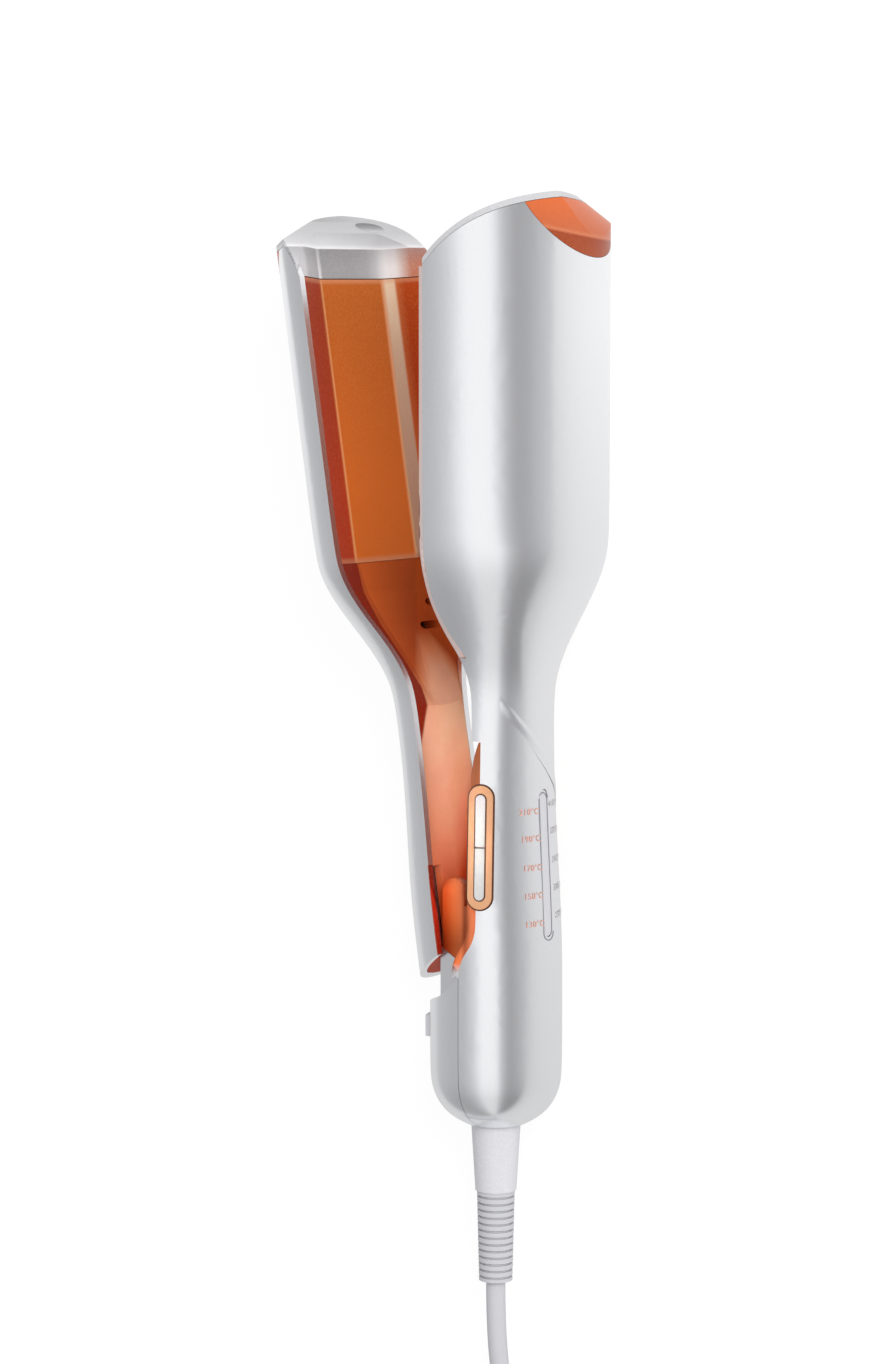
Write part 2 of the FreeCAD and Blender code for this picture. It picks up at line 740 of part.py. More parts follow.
cap_foot = cover_top + 0.3
cap_region = prism("cap_region", "XY_Plane", [
    (deck_face, cap_foot), (deck_face, s.jaw_tip), *crown_line(), (FAR, cap_foot)], 2 * FAR)
cap_hollow = prism("cap_hollow", "XY_Plane", box_points(
    (s.jaw_rim + 6, cap_foot - 5), (s.jaw_rim + s.jaw_depth - 9, cap_foot + 5)), s.jaw_half_width)
cap_shoulder = shoulder_tool("cap_shoulder", main_back, main_top, 1, s.cool_tip_thick + s.seam)
cap_back = cut(common(main_core, cap_region), cap_shoulder)
cap_lid = cut(common(main_solid, crown_region("cap_whole", 0)), main_shoulder,
              crown_region("cap_under", s.crown_lid))
ridge_bar = along_plate("ridge_bar", trapezoid(
    ridge_top, s.ridge_half, s.ridge_height, s.ridge_flare), ridge_end - 5, ridge_end + 20)
ridge_bar.Placement = shut
nose_region = prism("nose_region", "XY_Plane", [
    (-FAR, cap_foot - 0.9), (deck_face, cap_foot - 0.9), (deck_face, cap_foot),
    (deck_face + 0.4, cap_foot), (deck_face + 0.4, s.jaw_tip), (-FAR, s.jaw_tip)], 2 * FAR)
cap = fuse(cap_back, cap_lid, common(ridge_bar, nose_region))
piece(cut(cap, cap_hollow), "body_end_cap")


# Main arm: bezel, buttons and contacts

def in_button_frame(item, label):
    return piece(item, label, button_frame)


bezel = new_body("button_bezel")
pad(bezel, outline(bezel, "XY_Plane", slot_points((0, 0), s.bezel_length, s.bezel_width), bezel_foot),
    s.bezel_depth, False)
well_length = s.button_length + 2 * s.button_play
well_width = s.button_width + 2 * s.button_play
bezel_floor_at = bezel_foot + s.bezel_floor
pocket(bezel, outline(bezel, "XY_Plane", slot_points((0, 0), well_length, well_width), bezel_floor_at),
       10, False, True)
in_button_frame(bezel, "button_bezel")

contact_high = 0.4
button_foot = bezel_floor_at + contact_high + s.button_travel + 0.1
button_top = s.bezel_face + 0.4


def half_oblong(direction):
    """Half of the buttons' oblong, on one side of the split."""
    half = s.button_width / 2
    reach = (s.button_length / 2 - half) * direction
    split = s.button_split / 2 * direction
    return [
        (half, split),
        (half, reach, half * (-1.0001 * direction)),
        (-half, reach),
        (-half, split),
    ]


for label, direction in (("temperature_up_button", 1), ("temperature_down_button", -1)):
    in_button_frame(prism(label, "XY_Plane", half_oblong(direction), button_top - button_foot, False,
                          button_foot), label)
contacts = [rod("contact", "XY_Plane", (0, s.button_length / 4 * direction), [1.2], contact_high, False,
                bezel_floor_at) for direction in (1, -1)]
in_button_frame(fuse(*contacts), "button_contacts")


# Main arm: electronics in the grip

board_front = s.grip_parting + 0.3
board_back = board_front + 1.6


def block(name, low, high):
    """A box between two corners, by its three spans."""
    return prism(name, "XY_Plane", box_points(low[:2], high[:2]), high[2] - low[2], False, low[2])


piece(block("control_board", (board_front, 66, -10), (board_back, 121, 10)), "control_board")
chips = [
    block("relay", (board_back, 106, -5), (board_back + 4.5, 119, 4)),
    block("driver", (board_back, 92, -9.5), (board_back + 1.6, 101, -4.5)),
    block("choke", (board_back, 70, 4.2), (board_back + 5, 82, 9.5)),
    block("store", (board_back, 72, -9.5), (board_back + 5, 86, -4.2)),
]
piece(fuse(*chips), "board_components")
light_front = 12.2
light = [block("light_plate", (light_front, 62, -3), (light_front + 1.2, 101, 3))]
light += [block("light_post", (board_back, at, -1.5), (light_front, at + 3, 1.5)) for at in (66, 96)]
lamps = [block("lamp", (light_front + 1.2, 64.5 + 8.5 * step, -1), (light_front + 2, 66.5 + 8.5 * step, 1))
         for step in range(5)]
piece(fuse(*light, *lamps), "light_board")


def screws(places, start, length):
    """Cover screws along X, each a head and a shank that starts with it."""
    heads = [rod("screw_head", "YZ_Plane", place, [2.3], 1.1, False, start) for place in places]
    shanks = [rod("screw_shank", "YZ_Plane", place, [1.2], length, False, start) for place in places]
    return fuse(*heads, *shanks)


piece(screws(boss_places, grip_face + 0.15, 9), "body_cover_screws")


# Tail: cover, lock slider, swivel and guard

slope_end = s.tail_cover_top - s.tail_cover_drop
tail_edge = s.tail_radius + 1


def tail_region(name, drop, foot):
    """The tail cover's side outline: under its slanting top line and in front of the parting."""
    return prism(name, "XY_Plane", [
        (s.tail_parting - s.seam, foot),
        (s.tail_parting - s.seam, s.tail_cover_top - s.seam - drop, s.tail_cover_radius),
        (-tail_edge, slope_end - drop),
        (-2 * tail_edge, slope_end - drop),
        (-2 * tail_edge, foot),
    ], 2 * FAR)


tail_skin = common(main_skin, tail_region("tail_region", 0, -FAR))
tail_lid = cut(common(main_solid, tail_region("lid_region", 0, 10)), tail_region("under_lid", 1.8, -FAR))
ear_stands = ears("ear_stands", [
    (ear_left - 1, slope_end),
    (ear_left - 1, ear_foot + ear_slant + 0.3),
    (s.tail_parting - s.cover_thick - 0.3, ear_foot + 1.1),
    (s.tail_parting - s.cover_thick - 0.3, slope_end),
], s.ear_inner, s.ear_thick - 0.3)
lock_slot = prism("lock_slot", "XY_Plane", box_points(
    (-2 * tail_edge, s.lock_at - 2.4), (-1 * s.tail_radius / 2, s.lock_at + 2.4 + s.lock_travel)), 6.8)
screw_seat_at = -0.45 * s.tail_radius
tail_post = common(cover_boss("tail_post", tail_screw_place, 3.4, -FAR, FAR + s.tail_parting), main_solid)
piece(cut(fuse(tail_skin, tail_lid, tail_post, ear_stands), lock_slot, swivel_hole,
          cover_boss("tail_bore", tail_screw_place, 1.35, -FAR, 2 * FAR),
          cover_boss("tail_seat", tail_screw_place, 2.5, -FAR, FAR + screw_seat_at)), "tail_cover")
piece(screws([tail_screw_place], screw_seat_at - 1.1, 16), "tail_screw")

lock_region = prism("lock_region", "XY_Plane", box_points(
    (-2 * tail_edge, s.lock_at - s.lock_length / 2), (-2, s.lock_at + s.lock_length / 2)),
    2 * s.lock_half_width)
lock_pad = common(cut(solid("lock_outer", main_form(-number(s.lock_stand))),
                      solid("lock_inner", main_form(-0.1))), lock_region)
lock_stem = block("lock_stem", (-1 * s.tail_radius - 0.6, s.lock_at - 2, -3), (3.8 - s.tail_radius, s.lock_at + 2, 3))
lock_foot = block("lock_foot", (3.3 - s.tail_radius, s.lock_at - 2, -5), (4.6 - s.tail_radius, s.lock_at + 2, 5))
piece(fuse(lock_pad, lock_stem, lock_foot), "lock_slider")

flange_at = s.wall + 0.4
collar_start = -0.35
collar_end = -1 * s.collar_length
collar = turned("cord_swivel", [
    (0, flange_at + 1.6),
    (s.swivel_neck_radius + 0.9, flange_at + 1.6),
    (s.swivel_neck_radius + 0.9, flange_at),
    (s.swivel_neck_radius, flange_at),
    (s.swivel_neck_radius, collar_start),
    (s.collar_radius, collar_start),
    (s.guard_radius + 0.5, collar_end),
    (0, collar_end),
])
piece(collar, "cord_swivel")
guard_end = collar_end - s.guard_length


def guard_profile():
    """The cord guard's half section: a taper with a groove at each pitch."""
    points = [(0, collar_end)]
    count = 13
    pitch = s.guard_length / (count + 0.5)
    taper = s.guard_radius - s.guard_end_radius
    for step in range(count):
        radius = s.guard_radius - taper * (step / count)
        top = collar_end - pitch * step
        points += [(radius, top), (radius, top - pitch * 0.65),
                   (radius - s.groove_depth, top - pitch * 0.65), (radius - s.groove_depth, top - pitch)]
    points += [(s.guard_end_radius, collar_end - pitch * count), (s.guard_end_radius, guard_end),
               (0, guard_end)]
    return points


piece(turned("cord_guard", guard_profile()), "cord_guard")


# Lever, drawn in its own frame: origin on the hinge axis, Y along its jaw

lever_solid = solid("lever_solid", lever_form(0))
lever_hollow = solid("lever_hollow", lever_form(number(s.wall)))
lever_core = solid("lever_core", lever_form(number(s.wall + s.seam)))
lever_back = s.lever_rim - s.lever_jaw_depth - 0.5
lever_top = s.lever_jaw_tip + s.lever_crown_rise - 1
lever_shoulder = shoulder_tool("lever_shoulder", lever_back, lever_top - under_lid, -1, 0)
lever_inner_shoulder = shoulder_tool(
    "lever_inner_shoulder", lever_back, lever_top - under_lid, -1, s.cool_tip_thick)
lever_cap_shoulder = shoulder_tool(
    "lever_cap_shoulder", lever_back, lever_top - under_lid, -1, s.cool_tip_thick + s.seam)
lever_tip_recess = cool_tip_tool("lever_tip_recess", s.lever_cool_tip_centre, -1, 0)
lever_tip_form = cool_tip_tool("lever_tip_form", s.lever_cool_tip_centre, -1, s.seam)


def heel_at(back):
    """The slanting heel's height where it is back behind the lever's rim line."""
    return s.lever_foot_at - (back + s.lever_neck_rim) / 2


lever_region = prism("lever_region", "XY_Plane", [
    *lever_rim_line(s.lever_foot_at)[:-1], (s.lever_rim, s.lever_flare_end), *lever_crown_line(under_lid),
    (-FAR, heel_at(FAR))], 2 * FAR)
lever_skin = common(cut(lever_solid, lever_hollow), lever_region)
piece(cut(lever_skin, lever_shoulder, lever_tip_recess), "lever_outer_shell", opened)



def lever_crown_region(name, drop):
    """The lever jaw's end below the crown, lowered by drop."""
    foot = s.lever_cool_tip_centre - s.cool_tip_radius - 2
    return prism(name, "XY_Plane", [(s.lever_rim, foot), *lever_crown_line(drop), (-FAR, foot)], 2 * FAR)


lever_block = cut(common(lever_solid, lever_crown_region("lever_tip_region", under_lid)), lever_shoulder)
lever_inside = cut(common(lever_hollow, lever_crown_region("lever_inside_region", under_lid)),
                   lever_inner_shoulder)
piece(common(cut(lever_block, lever_inside), lever_tip_form), "lever_cool_tip", opened)

# The trough: a flat floor with two sloping sides, as points (x, z)
floor_at = s.lever_rim - s.trough_depth


def trough_points(half):
    """The trough's surface out to half either side, from one edge to the other."""
    edge = floor_at + s.facet_slope * (half - s.trough_floor_half)
    return [(edge, -1 * half), (floor_at, -1 * s.trough_floor_half),
            (floor_at, s.trough_floor_half), (edge, half)]


def behind(points, depth):
    """The same outline moved back, its floor a little wider, as a bent plate's back is."""
    corner = s.trough_floor_half + 0.18 * depth
    edge = points[0][0] - 1.07 * depth
    return [(edge, points[3][1]), (floor_at - depth, corner), (floor_at - depth, -1 * corner),
            (edge, points[0][1])]


plate_front = trough_points(s.plate_half_width)
piece(along_plate("trough_plate", plate_front + behind(plate_front, s.plate_thick),
                  s.plate_start, s.plate_end), "trough_plate", opened)

front_at = 10
over_trough = trough_points(s.jaw_half_width + 2)
over_plate = along_plate("over_plate", over_trough + [
    (front_at, s.jaw_half_width + 2), (front_at, -1 * s.jaw_half_width - 2)],
    s.plate_end - 20, s.plate_end + 60)
cap_start = s.plate_end + 0.3
lever_cap_region = prism("lever_cap_region", "XY_Plane", [
    (s.lever_rim, cap_start), *lever_crown_line(), (-FAR, cap_start)], 2 * FAR)
lever_cap_hollow = along_plate("lever_cap_hollow", box_points(
    (floor_at - s.plate_thick - 6, -1 * s.trough_floor_half),
    (floor_at - s.plate_thick, s.trough_floor_half)), cap_start - 5, cap_start + 4)
lever_cap_top = cut(common(lever_solid, lever_crown_region("lever_cap_whole", 0)),
                    shoulder_tool("lever_top_shoulder", lever_back, lever_top, -1, 0))
lever_cap_lid = cut(lever_cap_top, cut(
    common(lever_solid, lever_crown_region("lever_cap_under", s.crown_lid)),
    shoulder_tool("lever_lid_shoulder", lever_back, lever_top - s.crown_lid, -1, 0)))
lever_cap = fuse(cut(common(lever_core, lever_cap_region), lever_cap_shoulder), lever_cap_lid)
piece(cut(lever_cap, over_plate, lever_cap_hollow), "lever_end_cap", opened)


# Lever: inner cover with the V that runs out of the trough, the tongue and the ears

def trough_run():
    """The trough's run-out: straight lofts between sections that narrow to a V."""
    steps = (
        (number(s.plate_start) + 5, number(s.lever_rim) + 0.2, 35, number(floor_at), number(s.trough_floor_half)),
        (108, -8.3, 31.4, -16.5, 12),
        (97, -6.3, 25, -14.4, 7.4),
        (86, -4.4, 18.4, -11, 3.2),
        (76, -3.4, 14.8, -7.4, 0.8),
        (71, -3.2, 14, -3.5, 0.3),
    )
    rings = []
    for at, edge, half, floor, floor_half in steps:
        corners = [(edge + 6, -half), (edge, -half), (floor, -floor_half),
                   (floor, floor_half), (edge, half), (edge + 6, half)]
        points = [V(x, at, z) for x, z in corners]
        rings.append(Part.makePolygon(points + points[:1]))
    return Part.makeLoft(rings, True, True)


run_form = solid("run_form", trough_run())
cover_back = s.lever_neck_rim - s.cover_thick
heel_wall = 1.8
lever_cover_region = prism("lever_cover_region", "XY_Plane", [
    *lever_rim_line(heel_at(-s.lever_neck_rim) + 0.2),
    (s.lever_rim, s.lever_flare_end + 10),
    (floor_at - s.plate_thick, s.lever_flare_end + 10),
    (floor_at - s.plate_thick, s.lever_flare_end - 16),
    (cover_back, s.lever_neck_at - 10),
    (cover_back, heel_at(-cover_back) + 0.2 + heel_wall * 1.5),
    (-FAR, heel_at(FAR) + 0.2 + heel_wall * 1.5),
    (-FAR, heel_at(FAR) + 0.2),
], 2 * FAR)
above_start = prism("above_start", "XY_Plane", box_points(
    (-FAR, s.plate_start - s.seam), (FAR, s.plate_start + 20)), 2 * FAR)
tongue_half = s.ear_inner - s.ear_play
ear_slots = [block("ear_slot", (s.hinge_x - 0.5, -20, side), (4, s.ear_top + s.ear_half - s.hinge_y + 4, side + 6))
             for side in (tongue_half, -1 * tongue_half - 6)]
lever_ear_radius = s.ear_half
lever_ears = ears("lever_ears", [
    (cover_back + 1.5, -1 * lever_ear_radius),
    (0, -1 * lever_ear_radius, -1.0001 * lever_ear_radius),
    (0, lever_ear_radius),
    (cover_back + 1.5, lever_ear_radius + 3),
], tongue_half - s.lever_ear_thick, s.lever_ear_thick)
lever_bore = rod("lever_bore", "XY_Plane", (0, 0), [s.pin_radius + s.pin_play], FAR)
screw_dimple = rod("screw_dimple", "YZ_Plane", (103, -14), [1.3], 2 * FAR)
vent = prism("vent", "YZ_Plane", slot_points((96, -11), 6, 2.4), 2 * FAR)
lever_cover = cut(common(lever_core, lever_cover_region), run_form, above_start, *ear_slots)
piece(cut(fuse(lever_cover, lever_ears), lever_bore, screw_dimple, vent), "lever_inner_cover", opened)


# Lever: heater stack between the trough plate and the shell's back

lever_heater_half = s.heater_half + 4
heater_at = floor_at - s.plate_thick
lever_clamp_at = heater_at - s.heater_thick
lever_carrier_at = lever_clamp_at - s.clamp_thick
carrier_back = lever_carrier_at - 2.2
carrier_inner = s.trough_floor_half - 1.6
piece(along_plate("lever_heater", box_points(
    (lever_clamp_at, -1 * lever_heater_half), (heater_at, lever_heater_half)), heater_start, heater_end),
    "lever_heater", opened)
piece(along_plate("lever_heater_clamp", box_points(
    (lever_carrier_at, -1 * lever_heater_half - 1), (lever_clamp_at, lever_heater_half + 1)),
    heater_start - 3, heater_end + 3), "lever_heater_clamp", opened)
piece(along_plate("lever_plate_carrier", [
    (carrier_back, -1 * s.trough_floor_half),
    (carrier_back, s.trough_floor_half),
    (heater_at, s.trough_floor_half),
    (heater_at, carrier_inner),
    (lever_carrier_at, carrier_inner),
    (lever_carrier_at, -1 * carrier_inner),
    (heater_at, -1 * carrier_inner),
    (heater_at, -1 * s.trough_floor_half),
], s.plate_start + 3, s.plate_end - 3), "lever_plate_carrier", opened)
pad_blocks = [along_plate("pad_block", box_points((-FAR, -6), (carrier_back, 6)), at, at + 8)
              for at in (s.plate_start + 12, s.plate_end - 24)]
piece(common(fuse(*pad_blocks), lever_hollow), "lever_plate_pads", opened)


# Hinge: pin and torsion spring

piece(rod("hinge_pin", "XY_Plane", (s.hinge_x, s.hinge_y), [s.pin_radius],
          pin_reach + pin_end, False, -1 * pin_reach), "hinge_pin")
wire_radius = 0.5
spring_turns = 4
spring_pitch = 1.4
spring_radius = number(s.pin_radius) + 0.4 + wire_radius


def arc(first, middle, last):
    return Part.Arc(first, middle, last).toShape()


def spring():
    """Torsion spring round the pin: quarter-turn arcs of its helix, with two straight legs."""
    quarter = math.pi / 2
    edges = []
    lead = spring_pitch / 4
    start = -spring_turns * spring_pitch / 2

    def place(angle):
        return V(spring_radius * math.cos(angle), spring_radius * math.sin(angle),
                 start + spring_pitch * angle / (2 * math.pi))

    first_leg = place(0) - V(0, 11, 0)
    edges.append(Part.LineSegment(first_leg, place(0)).toShape())
    for step in range(spring_turns * 4):
        angle = step * quarter
        edges.append(arc(place(angle), place(angle + quarter / 2), place(angle + quarter)))
    last = place(spring_turns * 2 * math.pi)
    edges.append(Part.LineSegment(last, last + V(0, 11, lead)).toShape())
    return Part.Wire(edges)


def pipe(path, radius):
    """A round tube along a path."""
    edge = path.Edges[0]
    start = path.OrderedVertexes[0].Point
    along = edge.tangentAt(edge.FirstParameter)
    ring = Part.Wire([Part.makeCircle(radius, start, along)])
    return path.makePipeShell([ring], True, False)


spring_form = solid("hinge_spring", pipe(spring(), wire_radius))
piece(spring_form, "hinge_spring", at_hinge)


# Lying crimper: the whole stands on its lowest points, centred on the origin

EXIT = V(0, number(guard_end), 0)


def lying_place():
    """The common placement, moved so that the crimper's box stands on the origin."""
    boxes = []
    for item, place in PIECES.values():
        shape = item.Shape.copy()
        if place is not None:
            shape.Placement = place.multiply(shape.Placement)
        shape.Placement = TILT_ONLY.multiply(shape.Placement)
        points = shape.tessellate(0.1)[0]
        boxes.append([(min(p[axis] for p in points), max(p[axis] for p in points)) for axis in range(3)])
    low = [min(box[axis][0] for box in boxes) for axis in range(3)]
    high = [max(box[axis][1] for box in boxes) for axis in range(3)]
    return FreeCAD.Placement(V(-(low[0] + high[0]) / 2, -(low[1] + high[1]) / 2, -low[2]), TILT)


doc.recompute()
lying = lying_place()
for item, place in PIECES.values():
    own = item.Placement if place is None else place
    item.Placement = lying.multiply(own)
exit_point = lying.multVec(EXIT)
print("cord leaves at", [round(value, 3) for value in exit_point])
print("lies at", [round(value, 4) for value in lying.Base], "tilted", round(LYING_TILT, 5))


# Free cord: straight runs joined by tangent arcs, points chosen by hand in the lying frame

CORD_RUN = [
    (18.98, -163.09, 14.13),
    (18.98, -182.02, 12.47),
    (19.73, -203.8, 6.2),
    (18.98, -226.2, 3.9),
    (18.98, -247.2, 3.9),
]
PLUG_RUN = [
    (12.38, -259.2, 10.5),
    (12.38, -278.2, 10.5),
    (17.63, -298.7, 8.4),
    (25.23, -318.2, 7),
    (25.23, -338.7, 7),
]
FILLET_SHARE = 0.45
measured = []


def route(points):
    """Straight runs joined by arcs, each as large as its two runs allow."""
    corners = [V(*point) for point in points]
    edges = []
    here = corners[0]
    for before, corner, after in zip(corners, corners[1:], corners[2:]):
        back = (before - corner).normalize()
        on = (after - corner).normalize()
        turn = math.pi - back.getAngle(on)
        reach = FILLET_SHARE * min((before - corner).Length, (after - corner).Length)
        radius = reach / math.tan(turn / 2)
        measured.append(round(radius, 1))
        first = corner + back * reach
        last = corner + on * reach
        to_centre = (back + on).normalize()
        centre = corner + to_centre * math.hypot(radius, reach)
        edges.append(Part.LineSegment(here, first).toShape())
        edges.append(arc(first, centre - to_centre * radius, last))
        here = last
    edges.append(Part.LineSegment(here, corners[-1]).toShape())
    return Part.Wire(edges)


def tube(label, path):
    """A cord's solid, its volume compared with its section times its length."""
    radius = number(s.cord_radius)
    shape = pipe(path, radius)
    share = shape.Volume / (math.pi * radius * radius * path.Length)
    print(label, "length", round(path.Length, 1), "volume share", round(share, 4))
    return solid(label, shape)


cord_path = route(CORD_RUN)
plug_path = route(PLUG_RUN)
print("cord radii", measured)


# Put-away coil: two layers of half turns, whose centres change sides, and one climb between

def coil_path(start, end_run):
    """The coil's line, from its outer end on the floor to its outer end on top."""
    radius = number(s.coil_outer_radius)
    shrink = number(s.coil_turn_pitch) / 2
    height = start.z
    inward = int(number(s.coil_turns) * 2)
    here = start
    side = -1
    edges = [Part.LineSegment(start + V(0, end_run, 0), start).toShape()]
    for step in range(inward):
        edges.append(half_turn(here, side, radius, height))
        here = V(here.x + 2 * side * radius, here.y, height)
        side = -side
        radius -= shrink
    for edge in climb(here, side, radius, number(s.cord_layer)):
        edges.append(edge)
    height += number(s.cord_layer)
    here = V(here.x + 2 * side * radius, here.y, height)
    side = -side
    for step in range(inward - 1):
        radius += shrink
        edges.append(half_turn(here, side, radius, height))
        here = V(here.x + 2 * side * radius, here.y, height)
        side = -side
    edges.append(Part.LineSegment(here, here - V(0, end_run, 0)).toShape())
    return Part.Wire(edges)


def half_turn(start, side, radius, height):
    """A level half turn, clockwise from above."""
    middle = V(start.x + side * radius, start.y + side * radius, height)
    return arc(start, middle, V(start.x + 2 * side * radius, start.y, height))


def climb(start, side, radius, rise):
    """Half a turn that climbs to the next layer, in biarcs that share their end directions."""
    count = 4
    points = []
    for step in range(count + 1):
        angle = math.pi * step / count
        up = rise * ease(step / count)
        slope = rise * 6 * (step / count) * (1 - step / count) / math.pi
        points.append((
            V(start.x + side * radius * (1 - math.cos(angle)),
              start.y + side * radius * math.sin(angle), start.z + up),
            V(side * radius * math.sin(angle), side * radius * math.cos(angle), slope).normalize()))
    edges = []
    for (first, out), (last, arrive) in zip(points, points[1:]):
        edges += biarc(first, out, last, arrive)
    return edges


def biarc(first, out, last, arrive):
    """Two arcs from first, leaving along out, to last, arriving along arrive."""
    chord = last - first
    both = out + arrive
    blend = 2 * (1 - out.dot(arrive))
    along = chord.dot(both)
    reach = (math.sqrt(along * along + blend * chord.dot(chord)) - along) / blend
    joint = (first + last + (out - arrive) * reach) * 0.5
    return [arc_from(first, out, joint), arc_from(last, arrive * -1, joint, True)]


def arc_from(start, along, end, turned_round=False):
    """The arc that leaves start along a direction and ends at end."""
    chord = end - start
    half_angle = along.getAngle(chord)
    middle_way = (along + (chord * (1 / chord.Length))).normalize()
    middle = start + middle_way * (chord.Length / 2 / math.cos(half_angle / 2))
    return arc(end, middle, start) if turned_round else arc(start, middle, end)


coil_start = V(*CORD_RUN[-1]) - V(0, 2 * number(s.cord_radius), 0)
coil_wire = coil_path(coil_start, 2 * number(s.cord_radius))


def least_gap(path, spacing, apart):
    """The least gap between the tube's own turns, from points along its line."""
    count = int(path.Length / spacing)
    points = path.discretize(Number=count)
    skip = int(apart / spacing)
    nearest = min((points[low] - points[high]).Length
                  for low in range(count) for high in range(low + skip, count, 2))
    return nearest - 2 * number(s.cord_radius)


print("coil length", round(coil_wire.Length, 1), "least gap", round(least_gap(coil_wire, 2.5, 40), 2))
CORD_PIECES = {
    "cord": tube("cord", cord_path),
    "cord_coil": tube("cord_coil", coil_wire),
    "plug_cord": tube("plug_cord", plug_path),
}

# The tie: a flat band round both layers
tie_play = 0.3
tie_thick = 0.6
tie_width = 8
coil_inner = number(s.coil_outer_radius) - (number(s.coil_turns) - 0.5) * number(s.coil_turn_pitch)
tie_low = number(s.cord_radius) + tie_play
tie_first = coil_start.y - number(s.coil_outer_radius)
tie_last = coil_start.y - coil_inner + 1.1
tie_top = coil_start.z + number(s.cord_layer)
tie_centre = coil_start.x - number(s.coil_outer_radius) - number(s.coil_turn_pitch) / 2


def rounded(low, high, radius):
    """A rectangle with round corners."""
    return [
        (low[0], low[1] + radius), (low[0], high[1] - radius, radius),
        (low[0] + radius, high[1]), (high[0] - radius, high[1], radius),
        (high[0], high[1] - radius), (high[0], low[1] + radius, radius),
        (high[0] - radius, low[1]), (low[0] + radius, low[1], radius),
    ]


tie = new_body("cord_tie")
outer_reach = tie_low + tie_thick
pad(tie, outline(tie, "YZ_Plane", rounded(
    (tie_first - outer_reach, coil_start.z - outer_reach),
    (tie_last + outer_reach, tie_top + outer_reach), outer_reach), tie_centre), tie_width)
pocket(tie, outline(tie, "YZ_Plane", rounded(
    (tie_first - tie_low, coil_start.z - tie_low), (tie_last + tie_low, tie_top + tie_low), tie_low),
    tie_centre), 2 * tie_width)
CORD_PIECES["cord_tie"] = tie

# Plug: its own frame starts where the cord enters and runs along Y to the pins
plug_at = FreeCAD.Placement(V(*PLUG_RUN[-1]), FreeCAD.Rotation(V(0, 0, 1), 180))
relief_length = 20
plug_length = 36
plug_half = 6.9
relief = turned("plug_relief", [
    (0, 0), (s.cord_radius + 0.6, 0), (5.2, relief_length), (5.2, relief_length + 4),
    (0, relief_length + 4)])
plug_block = prism("plug_block", "XY_Plane", [
    (-6, relief_length), (-11, relief_length + 7, 26), (-17.6, relief_length + plug_length - 8),
    (-17.6, relief_length + plug_length), (17.6, relief_length + plug_length),
    (17.6, relief_length + plug_length - 8, 26), (11, relief_length + 7), (6, relief_length)],
    2 * plug_half)
plug_body = fuse(relief, plug_block)
plug_body.Placement = plug_at
CORD_PIECES["plug_body"] = plug_body
for label, side in (("plug_pin_left", -1), ("plug_pin_right", 1)):
    pin = rod(label, "XZ_Plane", (s.plug_pin_spacing * (side / 2), 0), [s.plug_pin_radius],
              s.plug_pin_length, False, -1.0 * (relief_length + plug_length), True)
    pin.Placement = plug_at
    CORD_PIECES[label] = pin


# Checks and export

doc.recompute()
for item in doc.Objects:
    faults = [state for state in item.State if state in ("Invalid", "Error")]
    if faults:
        raise SystemExit("%s (%s): %s" % (item.Name, item.Label, faults))
os.makedirs("parts", exist_ok=True)
for label, item in CORD_PIECES.items():
    item.Label = label
    PIECES[label] = (item, None)
for label, (item, place) in PIECES.items():
    shape = item.Shape
    if shape.isNull() or not shape.isValid():
        raise SystemExit("%s has no valid shape" % label)
    print(label, "solids", len(shape.Solids), "volume", round(shape.Volume, 1))
    shape.exportStep("parts/%s.step" % label)
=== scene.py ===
import bmesh
import bpy
import json
import math
import numpy as np
from mathutils import Matrix, Vector
from mathutils.bvhtree import BVHTree


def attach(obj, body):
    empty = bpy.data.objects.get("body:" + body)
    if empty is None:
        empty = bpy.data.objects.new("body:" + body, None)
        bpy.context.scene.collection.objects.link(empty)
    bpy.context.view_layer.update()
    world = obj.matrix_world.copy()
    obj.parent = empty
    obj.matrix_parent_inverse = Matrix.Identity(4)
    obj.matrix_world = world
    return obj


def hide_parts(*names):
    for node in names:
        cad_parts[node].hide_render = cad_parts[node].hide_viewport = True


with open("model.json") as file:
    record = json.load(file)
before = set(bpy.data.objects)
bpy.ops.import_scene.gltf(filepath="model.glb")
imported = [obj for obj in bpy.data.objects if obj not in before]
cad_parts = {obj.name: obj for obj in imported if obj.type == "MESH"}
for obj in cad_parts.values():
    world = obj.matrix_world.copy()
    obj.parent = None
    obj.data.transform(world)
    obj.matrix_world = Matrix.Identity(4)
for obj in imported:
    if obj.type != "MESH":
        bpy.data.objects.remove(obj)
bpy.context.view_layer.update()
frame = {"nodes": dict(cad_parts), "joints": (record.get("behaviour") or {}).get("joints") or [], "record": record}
MM = 0.001
joints = {joint["name"]: joint for joint in frame["joints"]}
SLOTS = {item["node"]: item["material_slot"] for item in frame["record"]["subparts"]}

# The crimper's own axes: along to the jaws, aside to the main arm's back, up the hinge pin
ALONG = Vector(joints["cord_turn"]["axis"]).normalized()
UP = -Vector(joints["lever_hinge"]["axis"]).normalized()
ASIDE = ALONG.cross(UP)
OWN_AXES = np.array([ASIDE, ALONG, UP])
TAIL = Vector(joints["cord_turn"]["pos_m"])
HINGE = Vector(joints["lever_hinge"]["pos_m"])

# The lever's axes at rest, where it stands open about the hinge pin
LEVER_OPENING = math.radians(9.2)
LEVER_ALONG = ALONG * math.cos(LEVER_OPENING) - ASIDE * math.sin(LEVER_OPENING)
LEVER_ASIDE = ASIDE * math.cos(LEVER_OPENING) + ALONG * math.sin(LEVER_OPENING)

